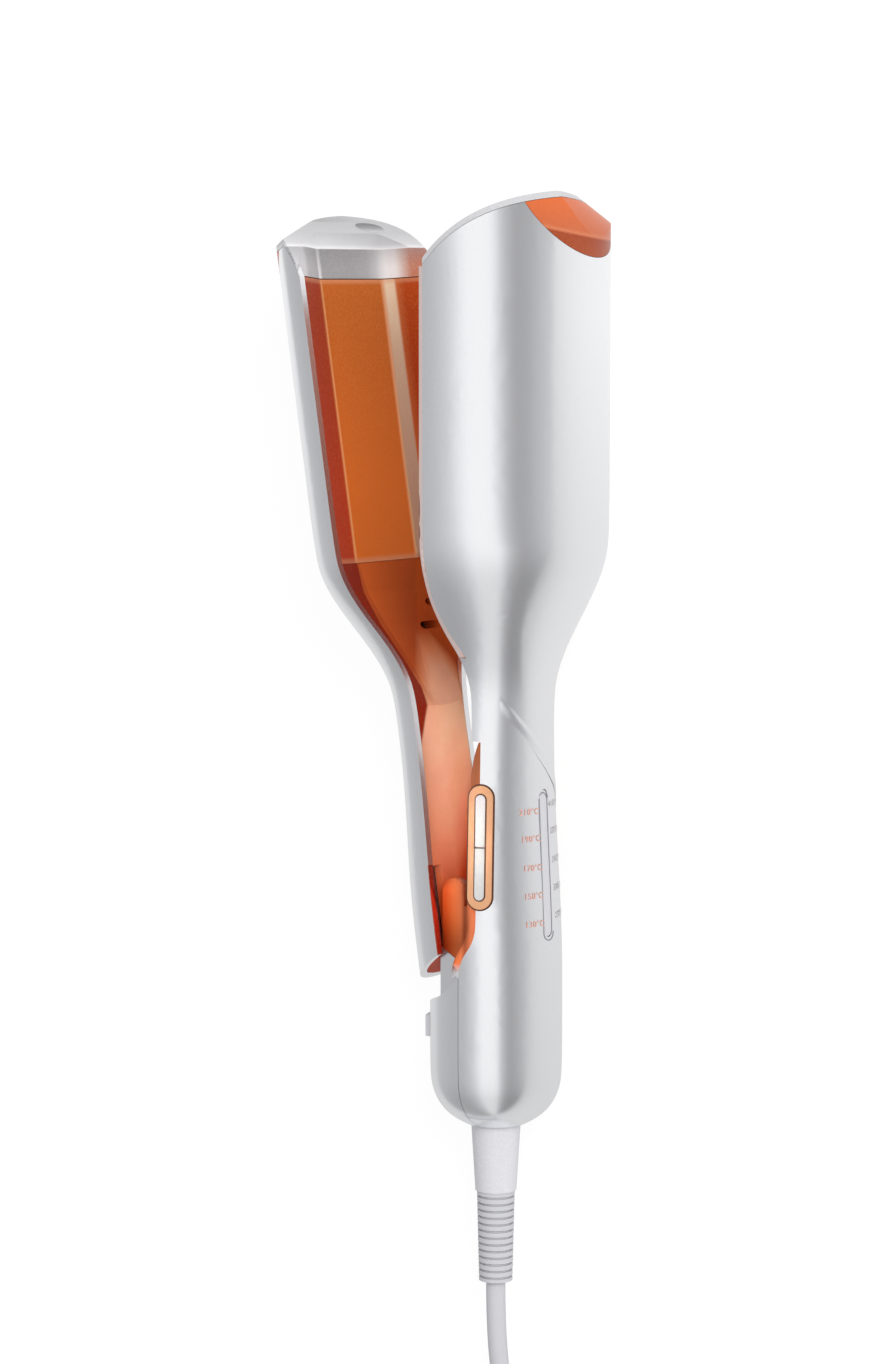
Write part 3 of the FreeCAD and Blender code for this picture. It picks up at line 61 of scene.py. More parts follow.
# The view: from the main arm's side, with the picture's right and the level way to the viewer
VIEW_TURN = math.radians(38)
VIEW_RISE = math.radians(6)
RIGHT = ASIDE * math.cos(VIEW_TURN) - UP * math.sin(VIEW_TURN)
AHEAD = ASIDE * math.sin(VIEW_TURN) + UP * math.cos(VIEW_TURN)

# The picture's size, the long axis's column and the tail end's row in pixels, and the mm in a pixel
PICTURE = (873, 1364)
AXIS_PIXEL = 496.7
TAIL_PIXEL = 1129
SCALE = 0.3

# A long lens: the camera's distance in mm, and its sensor's height
DISTANCE = 1150
SENSOR = 36


def spot(aside, along, up):
    """A place given in the crimper's own axes, in mm."""
    return TAIL + (ASIDE * aside + ALONG * along + UP * up) * MM


def picture_spot(x, y):
    """The place of a picture's pixel on the plane through the long axis that faces the viewer."""
    return TAIL + (RIGHT * (x - AXIS_PIXEL) + ALONG * (TAIL_PIXEL - y)) * SCALE * MM


def add_object(name, data):
    """A new object in the scene."""
    item = bpy.data.objects.new(name, data)
    bpy.context.scene.collection.objects.link(item)
    return item


def facing(towards, along, place):
    """A camera's or lamp's placing: its back points towards the viewer, its top leans along."""
    top = (along - towards * along.dot(towards)).normalized()
    turn = Matrix((top.cross(towards), top, towards)).transposed().to_4x4()
    return Matrix.Translation(place) @ turn


def make_camera():
    """The camera, which looks at the picture's middle from above."""
    towards = AHEAD * math.cos(VIEW_RISE) + ALONG * math.sin(VIEW_RISE)
    target = picture_spot(PICTURE[0] / 2, PICTURE[1] / 2)
    data = bpy.data.cameras.new("camera")
    data.sensor_fit = "VERTICAL"
    data.sensor_height = SENSOR
    data.lens = SENSOR * DISTANCE / (PICTURE[1] * SCALE)
    data.clip_end = 10
    camera = add_object("camera", data)
    camera.matrix_world = facing(towards, ALONG, target + towards * DISTANCE * MM)
    bpy.context.scene.camera = camera


make_camera()


# Shader nodes

def node(tree, kind, inputs=None, **settings):
    """Add a shader node; each input takes a value or another node's output."""
    made = tree.nodes.new("ShaderNode" + kind)
    for setting, value in settings.items():
        setattr(made, setting, value)
    for socket, value in (inputs or {}).items():
        if isinstance(value, bpy.types.NodeSocket):
            tree.links.new(value, made.inputs[socket])
        else:
            made.inputs[socket].default_value = value
    return made


def arithmetic(tree, operation, *values, **settings):
    """The result of one step of arithmetic on numbers or sockets."""
    return node(tree, "Math", dict(enumerate(values)), operation=operation, **settings).outputs[0]


def mapped(tree, value, low, high, to_low=0, to_high=1, **settings):
    """A value's share of the range from low to high, clamped and carried to another range."""
    ends = {"Value": value, "From Min": low, "From Max": high, "To Min": to_low, "To Max": to_high}
    return node(tree, "MapRange", ends, **settings).outputs["Result"]


def rgba(colour):
    """A bare colour with its alpha, or a socket as it is."""
    return colour if isinstance(colour, bpy.types.NodeSocket) else (*colour, 1)


def blended(tree, share, first, second):
    """Two colours mixed by a share that changes over the piece."""
    inputs = {"Factor": share, 6: rgba(first), 7: rgba(second)}
    return node(tree, "Mix", inputs, data_type="RGBA").outputs[2]


def ramp_over(tree, value, stops, soft=False):
    """A colour ramp over a value; the stops are pairs of that value and a colour, or one grey number."""
    low, high = stops[0][0], stops[-1][0]
    line = node(tree, "ValToRGB", {"Fac": mapped(tree, value, low, high)})
    ramp = line.color_ramp
    ramp.interpolation = "CARDINAL" if soft else "LINEAR"
    while len(ramp.elements) < len(stops):
        ramp.elements.new(0.5)
    for element, (at, colour) in zip(ramp.elements, stops):
        element.position = (at - low) / (high - low)
        element.color = rgba(colour if isinstance(colour, tuple) else (colour,) * 3)
    return line.outputs["Color"]


def node_group(name, inputs, outputs):
    """A shader node group with named sockets; gives the group and its two end nodes."""
    group = bpy.data.node_groups.new(name, "ShaderNodeTree")
    for side, sockets in (("INPUT", inputs), ("OUTPUT", outputs)):
        for socket, kind in sockets.items():
            group.interface.new_socket(socket, in_out=side, socket_type="NodeSocket" + kind)
    return group, group.nodes.new("NodeGroupInput").outputs, group.nodes.new("NodeGroupOutput").inputs


def placed_group(tree, group, inputs):
    """A group placed in a material with its own values; gives its outputs."""
    return node(tree, "Group", inputs, node_tree=group).outputs


BLOTCH_SCALE = 45


def moulded_grain():
    """Fine grain for a bump, and a roughness that varies in wide soft blotches."""
    group, given, put_out = node_group(
        "moulded_grain", {"Scale": "Float", "Roughness": "Float", "Blotch": "Float"},
        {"Height": "Float", "Roughness": "Float"})
    place = node(group, "TexCoord").outputs["Object"]
    fine = node(group, "TexNoise", {"Vector": place, "Scale": given["Scale"], "Detail": 2})
    wide = node(group, "TexNoise", {"Vector": place, "Scale": BLOTCH_SCALE, "Detail": 3})
    centred = arithmetic(group, "SUBTRACT", wide.outputs["Fac"], 0.5)
    rough = arithmetic(group, "MULTIPLY_ADD", centred, given["Blotch"], given["Roughness"])
    group.links.new(fine.outputs["Fac"], put_out["Height"])
    group.links.new(rough, put_out["Roughness"])
    return group


def fine_flakes():
    """A colour with fine flakes of another colour in it, as in metallic paint and baked coating."""
    group, given, put_out = node_group(
        "fine_flakes", {"Colour": "Color", "Flake": "Color", "Scale": "Float", "Amount": "Float"},
        {"Colour": "Color"})
    place = node(group, "TexCoord").outputs["Object"]
    noise = node(group, "TexNoise", {"Vector": place, "Scale": given["Scale"], "Detail": 1})
    share = mapped(group, noise.outputs["Fac"], 0.42, 0.75, 0, given["Amount"])
    group.links.new(blended(group, share, given["Colour"], given["Flake"]), put_out["Colour"])
    return group


def measured_from():
    """The distance in mm from a place along a direction, for colours that change over a piece."""
    group, given, put_out = node_group(
        "measured_from", {"Place": "Vector", "Direction": "Vector"}, {"Distance": "Float"})
    here = node(group, "TexCoord").outputs["Object"]
    shift = node(group, "VectorMath", {0: here, 1: given["Place"]}, operation="SUBTRACT")
    reach = node(group, "VectorMath", {0: shift.outputs["Vector"], 1: given["Direction"]},
                 operation="DOT_PRODUCT")
    group.links.new(arithmetic(group, "MULTIPLY", reach.outputs["Value"], 1 / MM), put_out["Distance"])
    return group


GRAIN, FLAKES, MEASURED = moulded_grain(), fine_flakes(), measured_from()


def distance(tree, place, direction):
    """The measured distance in mm from a place along a direction."""
    return placed_group(tree, MEASURED, {"Place": place, "Direction": direction})["Distance"]


def surface(name, colour, roughness, grain=1500, depth=0.03, blotch=0.06, flake=None, amount=0.2,
            flake_scale=1400, painted=None, **values):
    """A moulded or coated surface: grain, blotchy gloss, and flakes or a painted change of colour, which may be
    painted light and shade.
    """
    made = bpy.data.materials.new(name)
    made.use_nodes = True
    tree = made.node_tree
    shader = tree.nodes["Principled BSDF"]
    shader.inputs["Base Color"].default_value = rgba(colour)
    for socket, value in values.items():
        shader.inputs[socket.replace("_", " ")].default_value = value
    worked = placed_group(tree, GRAIN, {"Scale": grain, "Roughness": roughness, "Blotch": blotch})
    bump = node(tree, "Bump", {"Height": worked["Height"], "Strength": depth, "Distance": 0.2 * MM})
    tree.links.new(bump.outputs["Normal"], shader.inputs["Normal"])
    tree.links.new(worked["Roughness"], shader.inputs["Roughness"])
    shade = painted(tree) if painted else None
    if flake:
        shade = placed_group(tree, FLAKES, {"Colour": rgba(shade or colour), "Flake": rgba(flake),
                                            "Scale": flake_scale, "Amount": amount})["Colour"]
    if shade:
        tree.links.new(shade, shader.inputs["Base Color"])
    return made


# The CAD nodes' points

def read_rows(items, attribute, width=3, kind=float):
    """A mesh's values as numpy rows."""
    values = np.empty(width * len(items), dtype=kind)
    items.foreach_get(attribute, values)
    return values.reshape(-1, width)


def mesh_points(cad_name):
    """A CAD node's points, as rows of metres."""
    return read_rows(frame["nodes"][cad_name].data.vertices, "co")


def to_own(points):
    """Points in metres, as rows of mm in the crimper's own axes."""
    return (points - np.array(TAIL)) @ OWN_AXES.T / MM


def trough_ends():
    """Where the trough begins and ends, in mm along the lever from the hinge."""
    reach = (mesh_points("trough_plate") - np.array(HINGE)) @ np.array(LEVER_ALONG) / MM
    return float(reach.min()), float(reach.max())


TROUGH_LOW, TROUGH_HIGH = trough_ends()

# Where the top of the lever's cap folds down to its wall, in mm along the lever from the hinge
CAP_FOLD = 213.0

# The finger dimple of the lever's cap: its middle, the direction from its upper to its lower edge,
# and the direction out of the cap
DIMPLE_MIDDLE = spot(-61.2, 270, -15.2)
DIMPLE_SLOPE = ASIDE * 0.87 - ALONG * 0.49
CAP_OUTWARD = ASIDE * 0.49 + ALONG * 0.87

# The fold between the two faces of the main arm's cool tip, where its painted shade begins
TIP_FOLD = spot(33, 267.3, 4.8)
TIP_SLOPE = ALONG * 0.97 + UP * -0.1 + ASIDE * 0.2


# Painted changes of colour, most of them painted light and shade; each ramp's stops are mm along a direction, and
# a colour

def trough_painted_light(tree):
    """Across the trough, from below: deep slope, painted highlight band, warm floor, painted highlight on the
    fold, upper slope in painted shade.

    Its lower end is painted 1.5 times as light, but never lighter than the band. Both of its rims carry a painted
    highlight.
    """
    highlight_band = (0.98, 0.76, 0.54)
    # Painted light across the trough: a highlight band near -17 mm, a highlight on the fold near 15 mm, shade on
    # the upper slope.
    across = ramp_over(tree, distance(tree, HINGE, UP), [
        (-32, (0.55, 0.07, 0.01)), (-22, (0.55, 0.07, 0.012)), (-19.4, (0.65, 0.16, 0.05)),
        (-18.6, (0.98, 0.72, 0.5)), (-15.8, (1, 0.76, 0.54)), (-14.9, (0.85, 0.42, 0.22)),
        (-13.4, (0.58, 0.135, 0.018)), (14.2, (0.58, 0.135, 0.018)), (14.8, (0.8, 0.36, 0.15)),
        (15.6, (0.6, 0.18, 0.05)), (16.6, (0.4, 0.028, 0)), (32, (0.38, 0.024, 0))])
    along = distance(tree, HINGE, LEVER_ALONG)
    # Painted light: the lower end is lifted up to 1.5 times.
    lift = mapped(tree, along, 140, 195, 1.5, 1)
    lifted = node(tree, "VectorMath", {0: across, "Scale": lift}, operation="SCALE").outputs["Vector"]
    held = node(tree, "VectorMath", {0: lifted, 1: highlight_band}, operation="MINIMUM").outputs["Vector"]
    # Painted highlight lines along both rims.
    rims = ramp_over(tree, along, [
        (TROUGH_LOW, 0.75), (TROUGH_LOW + 1.2, 0.4), (TROUGH_LOW + 1.8, 0),
        (TROUGH_HIGH - 1.6, 0), (TROUGH_HIGH - 1, 0.35), (TROUGH_HIGH, 0.5)])
    return blended(tree, rims, held, (0.85, 0.4, 0.22))


def neck_painted_light(tree):
    """The lever's cover: a deep red upper wall in painted shade, a warm floor that runs out in a V, a neck with a
    painted highlight.

    The floor's colours are read along the lever, less up to 12 mm as up falls from 2.5 to -5 mm, and
    plus up to 19.5 mm as it falls from -9.5 to -16 mm, which draws the V. The upper wall starts at a
    fold, which wanders along the lever at a share of 25 mm up.
    """
    fold_unit = 25
    along = distance(tree, HINGE, LEVER_ALONG)
    up = distance(tree, HINGE, UP)
    drawn_in = arithmetic(tree, "SUBTRACT", along, mapped(tree, up, 2.5, -5, 0, 12))
    drawn_in = arithmetic(tree, "ADD", drawn_in, mapped(tree, up, -9.5, -16, 0, 19.5))
    # Painted light along the floor: a pale painted highlight on the neck, from about 22 to 77 mm.
    floor = ramp_over(tree, drawn_in, [
        (-12, (0.85, 0.07, 0.01)), (6, (0.9, 0.09, 0.014)), (14, (0.95, 0.12, 0.022)),
        (22, (0.98, 0.26, 0.12)), (34, (0.98, 0.4, 0.22)), (58, (0.98, 0.56, 0.36)),
        (70, (0.98, 0.52, 0.32)), (77, (0.85, 0.3, 0.13)), (83, (0.56, 0.1, 0.02)),
        (104, (0.64, 0.13, 0.024)), (240, (0.64, 0.13, 0.02))])
    fold_share = ramp_over(tree, along, [
        (50, 0.6), (60, 0.46), (70, 0.27), (77, 0.13), (86, 0.28), (98, 0.52), (108, 0.62), (240, 0.62)])
    beyond = arithmetic(tree, "SUBTRACT", up, arithmetic(tree, "MULTIPLY", fold_share, fold_unit))
    # Painted shade on the upper wall, past the fold.
    upper_wall_shade = mapped(tree, beyond, -0.5, 0.9, interpolation_type="SMOOTHSTEP")
    # Painted shade towards the top, near the hinge.
    upper, lower = mapped(tree, up, 2, 14, 0, 0.45), mapped(tree, along, 60, 74, 1, 0)
    floor = blended(tree, arithmetic(tree, "MULTIPLY", upper, lower), floor, (0.5, 0.09, 0.03))
    return blended(tree, upper_wall_shade, floor, (0.3, 0.016, 0.002))


def arm_cover_colour_and_light(tree):
    """The main arm's cover: a painted glow round the hinge and painted shade across it, deeper painted shade along
    the jaw.

    Below the ears it is silver grey, and its thin rim along the jaw, which faces up, has a painted highlight.
    """
    along = distance(tree, TAIL, ALONG)
    # Painted glow and shade across the ears.
    ears = ramp_over(tree, distance(tree, TAIL, RIGHT), [
        (-21, (0.6, 0.05, 0.008)), (-17.5, (0.75, 0.07, 0.012)), (-15, (0.88, 0.11, 0.018)),
        (-12.8, (0.97, 0.2, 0.05)), (-10.8, (0.9, 0.22, 0.08)), (-9.7, (0.42, 0.09, 0.03)),
        (-9, (0.5, 0.12, 0.045)), (-8, (0.75, 0.19, 0.075)), (0, (0.75, 0.19, 0.075))])
    # Painted shade along the jaw.
    jaw = ramp_over(tree, along, [
        (82, (0.6, 0.16, 0.06)), (110, (0.36, 0.11, 0.045)), (140, (0.42, 0.06, 0.012)),
        (290, (0.42, 0.06, 0.012))])
    orange_part = blended(tree, mapped(tree, along, 72, 82), ears, jaw)
    cover = blended(tree, mapped(tree, along, 48.5, 51.5), (0.6, 0.6, 0.62), orange_part)
    normal = node(tree, "TexCoord").outputs["Normal"]
    level = node(tree, "VectorMath", {0: normal, 1: UP}, operation="DOT_PRODUCT").outputs["Value"]
    # Painted highlight on the rim where it faces up.
    rim = arithmetic(tree, "MULTIPLY", mapped(tree, level, 0.3, 0.6), mapped(tree, along, 134, 138))
    return blended(tree, rim, cover, (0.62, 0.5, 0.47))


def lever_shell_painted_shade(tree):
    """The lever's shell: its own silver, but on the face that looks at the hinge a painted deep red, orange in
    painted shade.

    That face stands 3.57 mm behind the hinge's axis, give or take 0.3 mm, and the red ends 24 mm along.
    """
    behind = arithmetic(tree, "COMPARE", distance(tree, HINGE, LEVER_ASIDE), -3.57, 0.3)
    low = arithmetic(tree, "LESS_THAN", distance(tree, HINGE, LEVER_ALONG), 24)
    # Painted shade: deep red on the face that looks at the hinge.
    shaded_inner_face = arithmetic(tree, "MULTIPLY", behind, low)
    return blended(tree, shaded_inner_face, SATIN, (0.8, 0.09, 0.02))


def cap_painted_light(tree):
    """The lever's cap: a painted highlight along the fold and painted shading on top, and below the fold the wall
    at the trough's end in painted shade and painted highlights.
    """
    along = distance(tree, HINGE, LEVER_ALONG)
    # Painted light on the wall: a reddish painted reflection near the trough, a painted highlight band, grey
    # shade, a painted highlight line at 14.6 to 15.4 mm.
    wall = ramp_over(tree, distance(tree, HINGE, UP), [
        (-32, (0.6, 0.16, 0.06)), (-25, (0.62, 0.2, 0.1)), (-22.5, (0.75, 0.5, 0.42)),
        (-20, (0.95, 0.88, 0.85)), (-16.5, (0.95, 0.93, 0.92)), (-12.5, (0.6, 0.6, 0.61)),
        (-8, (0.42, 0.42, 0.43)), (0, (0.36, 0.36, 0.37)), (13.6, (0.36, 0.36, 0.37)),
        (14.6, (0.8, 0.8, 0.82)), (15.4, (0.8, 0.8, 0.82)), (16.2, (0.44, 0.44, 0.45)),
        (24, (0.48, 0.48, 0.49)), (27, (0.75, 0.75, 0.77)), (32, (0.75, 0.75, 0.77))])
    shadow = ramp_over(tree, along, [(203, 0), (207, 0.1), (CAP_FOLD - 0.8, 0.5), (CAP_FOLD, 0.5)])
    # Painted highlight along the fold, fading to the top's grey.
    top = ramp_over(tree, along, [
        (CAP_FOLD, (0.95, 0.95, 0.96)), (CAP_FOLD + 1.2, (0.7, 0.7, 0.71)),
        (CAP_FOLD + 5, (0.56, 0.56, 0.57)), (CAP_FOLD + 9, (0.5, 0.5, 0.51)), (232, (0.6, 0.6, 0.61))])
    shaded_wall = blended(tree, shadow, wall, (0.2, 0.2, 0.21))
    return blended(tree, mapped(tree, along, CAP_FOLD - 0.3, CAP_FOLD), shaded_wall, top)


def dimple_painted_shade(tree):
    """The dimple in painted light: painted shade under its upper edge, lighter where its floor runs out."""
    return ramp_over(tree, distance(tree, DIMPLE_MIDDLE, DIMPLE_SLOPE), [
        (-3, (0.13, 0.13, 0.14)), (-1.4, (0.15, 0.15, 0.16)), (0.6, (0.3, 0.3, 0.31)),
        (3, (0.66, 0.66, 0.67))])


def tip_painted_light(tree):
    """The main arm's cool tip: painted light on the upper face, painted shade on the lower one past a fold, and a
    painted highlight along the fold.
    """
    return ramp_over(tree, distance(tree, TIP_FOLD, TIP_SLOPE), [
        (-12, (0.36, 0.07, 0.02)), (-6, (0.36, 0.068, 0.017)), (-0.5, (0.33, 0.052, 0.011)),
        (0.2, (0.62, 0.19, 0.085)), (1.2, (0.56, 0.13, 0.045)), (6, (0.64, 0.14, 0.042)),
        (14, (0.76, 0.14, 0.03))])


# Materials

SATIN = (0.92, 0.925, 0.945)
SATIN_LOOK = {"grain": 2500, "depth": 0.02, "blotch": 0.03, "flake": (0.99, 0.99, 1), "amount": 0.5,
              "flake_scale": 2600, "Metallic": 0.95}
COARSE = {"grain": 900, "depth": 0.1}
PRINTED = {"grain": 900, "depth": 0.02}

silver = surface("satin silver", SATIN, 0.2, **SATIN_LOOK)
lever_silver = surface("lever satin silver", SATIN, 0.2, painted=lever_shell_painted_shade, **SATIN_LOOK)
cap_silver = surface("cap silver", (0.56, 0.56, 0.57), 0.32, flake=(0.8, 0.8, 0.82))
lever_cap = surface("lever cap silver", (0.56, 0.56, 0.57), 0.34, painted=cap_painted_light,
                    flake=(0.85, 0.85, 0.87), amount=0.1)
bright_plastic = surface("silver plastic", (0.7, 0.7, 0.73), 0.35, flake=(0.95, 0.95, 0.98))
orange = surface("orange plastic", (0.7, 0.1, 0.012), 0.32, flake=(0.8, 0.2, 0.05), amount=0.12)
shaded_orange = surface("arm cover orange", (0.5, 0.09, 0.02), 0.4, painted=arm_cover_colour_and_light,
                        flake=(0.6, 0.16, 0.05), amount=0.12, Specular_IOR_Level=0.2)
neck_orange = surface("lever cover orange", (0.6, 0.1, 0.02), 0.42, painted=neck_painted_light,
                      flake=(0.8, 0.3, 0.15), amount=0.06, Specular_IOR_Level=0.06)
coating = surface("ridge coating", (0.5, 0.11, 0.02), 0.38, flake=(0.85, 0.36, 0.13), amount=0.3,
                  Metallic=0.25, **COARSE)
trough_coating = surface("trough coating", (0.5, 0.11, 0.02), 0.36, painted=trough_painted_light,
                         flake=(0.9, 0.36, 0.12), amount=0.16, Metallic=0.4,
                         Specular_IOR_Level=0.04, **COARSE)
tip_orange = surface("cool tip orange", (0.7, 0.17, 0.07), 0.34, painted=tip_painted_light,
                     flake=(0.8, 0.3, 0.15), amount=0.08, Specular_IOR_Level=0.3)
bezel_orange = surface("bezel orange", (0.72, 0.36, 0.18), 0.3, flake=(0.85, 0.5, 0.3), amount=0.15)
button_silver = surface("button silver", (0.62, 0.61, 0.59), 0.3, flake=(0.75, 0.75, 0.74), amount=0.3)
window = surface("scale window", (0.62, 0.62, 0.64), 0.14, grain=400, depth=0.02,
                 flake=(0.7, 0.7, 0.72), Coat_Weight=0.6)
rubber = surface("grey rubber", (0.6, 0.6, 0.63), 0.5, grain=1800, depth=0.08, flake=(0.7, 0.7, 0.73))
steel = surface("steel", (0.7, 0.7, 0.72), 0.3, grain=1200, depth=0.05, flake=(0.8, 0.8, 0.82),
                Metallic=1)
ceramic = surface("ceramic", (0.85, 0.84, 0.8), 0.6, grain=800, depth=0.1, flake=(0.75, 0.73, 0.68))
dark_plastic = surface("dark plastic", (0.03, 0.03, 0.03), 0.5, flake=(0.06, 0.06, 0.06), **COARSE)
pad_silicone = surface("pad silicone", (0.45, 0.1, 0.07), 0.6, flake=(0.5, 0.16, 0.12), **COARSE)
board_green = surface("circuit board", (0.02, 0.12, 0.04), 0.4, flake=(0.05, 0.2, 0.08), **COARSE)
ink = surface("scale print", (0.8, 0.4, 0.32), 0.5, flake=(0.85, 0.5, 0.42), **PRINTED)
grey_ink = surface("grey print", (0.4, 0.38, 0.4), 0.5, flake=(0.5, 0.48, 0.5), **PRINTED)
seam_brown = surface("brown seam", (0.09, 0.03, 0.015), 0.6, flake=(0.15, 0.06, 0.03), **PRINTED)
dimple_silver = surface("dimple silver", (0.3, 0.3, 0.31), 0.34, painted=dimple_painted_shade)
seam_grey = surface("grey seam", (0.25, 0.25, 0.27), 0.6, flake=(0.35, 0.35, 0.37), **PRINTED)

FINISH = {
    "silver_shell": silver, "orange_cover": orange, "orange_coating": coating,
    "bezel_orange": bezel_orange, "button_silver": button_silver, "scale_window": window,
    "heater_ceramic": ceramic, "steel": steel, "carrier_plastic": dark_plastic,
    "silicone": pad_silicone, "circuit_board": board_green, "cord_rubber": rubber,
    "swivel_silver": bright_plastic, "plug_metal": steel,
}
SPECIAL = {
    "body_cool_tip": tip_orange, "trough_plate": trough_coating, "lever_inner_cover": neck_orange,
    "body_inner_cover": shaded_orange, "lever_outer_shell": lever_silver, "body_end_cap": cap_silver,
    "lock_slider": bright_plastic,
}
for cad_name, item in frame["nodes"].items():
    item.data.materials.clear()
    item.data.materials.append(SPECIAL.get(cad_name, FINISH[SLOTS[cad_name]]))


# Pieces

def add_piece(name, data, body, material):
    """A new visible piece that rides on a body and takes the given material."""
    item = add_object(name, data)
    data.materials.clear()
    data.materials.append(material)
    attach(item, body)
    return item


# Free cord: the route's points in mm, and the coil's half turns, which shrink to the inside,
# climb one layer and grow again

CORD_RUN = [
    (18.98, -163.09, 14.13), (18.98, -182.02, 12.47), (19.73, -203.8, 6.2),
    (18.98, -226.2, 3.9), (18.98, -247.2, 3.9),
]
PLUG_RUN = [
    (12.38, -278.2, 10.5), (17.63, -298.7, 8.4), (25.23, -318.2, 7), (25.23, -338.7, 7),
]
CORD_RADIUS = 3
COIL_RADIUS = 46.8
HALF_TURN_SHRINK = 3.3
LAYER = 6.6
INWARD_HALVES = 7
OUTWARD_HALVES = 6
STEPS = 8


def coil_points():
    """The coil's control points: level half turns inwards, one that climbs, half turns outwards.

    Each half turn has points at radius / cos(half a step) round its middle, and the climbing one
    rises by LAYER times 3 share squared less 2 share cubed.
    """
    x, y, z = CORD_RUN[-1]
    y -= 2 * CORD_RADIUS
    swell = 1 / math.cos(math.pi / STEPS / 2)
    points = []
    side = -1
    radius = COIL_RADIUS
    for turn in range(INWARD_HALVES + 1 + OUTWARD_HALVES):
        climbing = turn == INWARD_HALVES
        for step in range(STEPS):
            share = (step + 0.5) / STEPS
            angle = math.pi * share
            rise = LAYER * share * share * (3 - 2 * share) if climbing else 0
            points.append((x + side * radius * (1 - swell * math.cos(angle)),
                           y + side * radius * swell * math.sin(angle), z + rise))
        x += side * 2 * radius
        z += LAYER if climbing else 0
        side = -side
        radius += HALF_TURN_SHRINK if turn >= INWARD_HALVES else -HALF_TURN_SHRINK
    return points


def make_cord():
    """The cord as one smooth curve from the guard, through the coil, to the plug."""
    points = CORD_RUN + coil_points() + PLUG_RUN
    data = bpy.data.curves.new("mains_cord", "CURVE")
    data.dimensions = "3D"
    data.bevel_depth = CORD_RADIUS * MM
    data.bevel_resolution = 5
    data.resolution_u = 6
    line = data.splines.new("NURBS")
    line.points.add(len(points) - 1)
    for point, place in zip(line.points, points):
        point.co = (*(Vector(place) * MM), 1)
    line.order_u = 3
    line.use_endpoint_u = True
    item = add_piece("mains_cord", data, "main_arm", rubber)
    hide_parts("cord", "cord_coil", "plug_cord")


# Looks that stand in for CAD nodes, made from copies of their own meshes

WELD = 0.01 * MM
SHARP_EDGE = math.radians(28)


def split_copy(cad_name, places, normal):
    """A copy of a CAD mesh, split by planes through the places, smooth but for its sharp edges."""
    mesh = frame["nodes"][cad_name].data.copy()
    work = bmesh.new()
    work.from_mesh(mesh)
    bmesh.ops.remove_doubles(work, verts=work.verts, dist=WELD)
    for place in places:
        bmesh.ops.bisect_plane(work, geom=[*work.verts, *work.edges, *work.faces],
                               plane_co=place, plane_no=normal, dist=WELD)
    bmesh.ops.triangulate(work, faces=work.faces)
    work.to_mesh(mesh)
    work.free()
    mesh.shade_smooth()
    mesh.set_sharp_from_angle(angle=SHARP_EDGE)
    return mesh


STRIP_SPLITS = (106, 108, 110, 112, 114, 115.5, 117)


def make_arm_cover():
    """The main arm's cover in its node's place, its strip above the bezel drawn out to a point.

    Along the strip, aside is at least 3.4 mm plus 2.75 mm times the share of its length to the power
    2.4; the share runs from 0 at 103.5 mm to 1 at 117.9 mm along.
    """
    mesh = split_copy("body_inner_cover", [spot(0, at, 0) for at in STRIP_SPLITS], ALONG)
    own = to_own(read_rows(mesh.vertices, "co"))
    aside, along, up = own.T
    strip = (along > 103) & (along < 118.1) & (np.abs(up) > 12)
    edge = 3.4 + 2.75 * np.clip((along - 103.5) / 14.4, 0, 1) ** 2.4
    own[:, 0] = np.where(strip, np.maximum(aside, edge), aside)
    mesh.vertices.foreach_set("co", (np.array(TAIL) + MM * own @ OWN_AXES).ravel())
    mesh.update()
    item = add_piece("body_cover_look", mesh, "main_arm", shaded_orange)
    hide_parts("body_inner_cover")


def cap_top_normals(across, above):
    """How the cap's top is turned, by the mm across it and above the fold.

    Its aside part is 0.74 less 0.02 a mm above, its along part makes that a unit, its up part is
    0.012 a mm across, and the whole is made a unit again.
    """
    forwards = 0.74 - 0.02 * above
    turned = np.outer(forwards, ASIDE) + np.outer(np.sqrt(1 - forwards ** 2), ALONG)
    turned += np.outer(across * 0.012, UP)
    return turned / np.linalg.norm(turned, axis=1, keepdims=True)


def make_lever_cap():
    """The lever's cap in its node's place, split at the fold, so that its top is shaded as one face."""
    mesh = split_copy("lever_end_cap", [HINGE + LEVER_ALONG * CAP_FOLD * MM], LEVER_ALONG)
    corners = read_rows(mesh.loops, "vertex_index", 1, int)[:, 0]
    normals = read_rows(mesh.corner_normals, "vector")
    away = (read_rows(mesh.vertices, "co")[corners] - np.array(HINGE)) / MM
    face_normals = np.repeat(read_rows(mesh.polygons, "normal"), 3, axis=0)
    level = (away @ np.array(LEVER_ALONG)).reshape(-1, 3).mean(axis=1).repeat(3)
    top = (face_normals @ np.array(ASIDE) > 0.8) & (level > CAP_FOLD)
    normals[top] = cap_top_normals((away @ np.array(UP))[top], level[top] - CAP_FOLD)
    mesh.normals_split_custom_set(normals.tolist())
    item = add_piece("lever_cap_look", mesh, "lever", lever_cap)
    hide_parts("lever_end_cap")


# Grip: what is printed on it, its seams, and the crease that winds round it

GRIP_STEPS = np.arange(50, 132, 2.0)


def measured_grip():
    """The shell's greatest distance from the long axis within 4 mm of each step, in mm."""
    aside, along, up = to_own(mesh_points("body_outer_shell")).T
    return np.array([np.hypot(aside, up)[np.abs(along - at) < 4].max() for at in GRIP_STEPS])


GRIP_REACH = measured_grip()


def grip_radius(alongs):
    """The grip's outer radius in mm, read from the shell."""
    return np.interp(alongs, GRIP_STEPS, GRIP_REACH)


def grip_outward(turns):
    """Directions out of the grip, at turns in degrees to the right from the view."""
    angle = math.radians(90) - VIEW_TURN - np.radians(turns)
    return np.outer(np.cos(angle), ASIDE) + np.outer(np.sin(angle), UP)


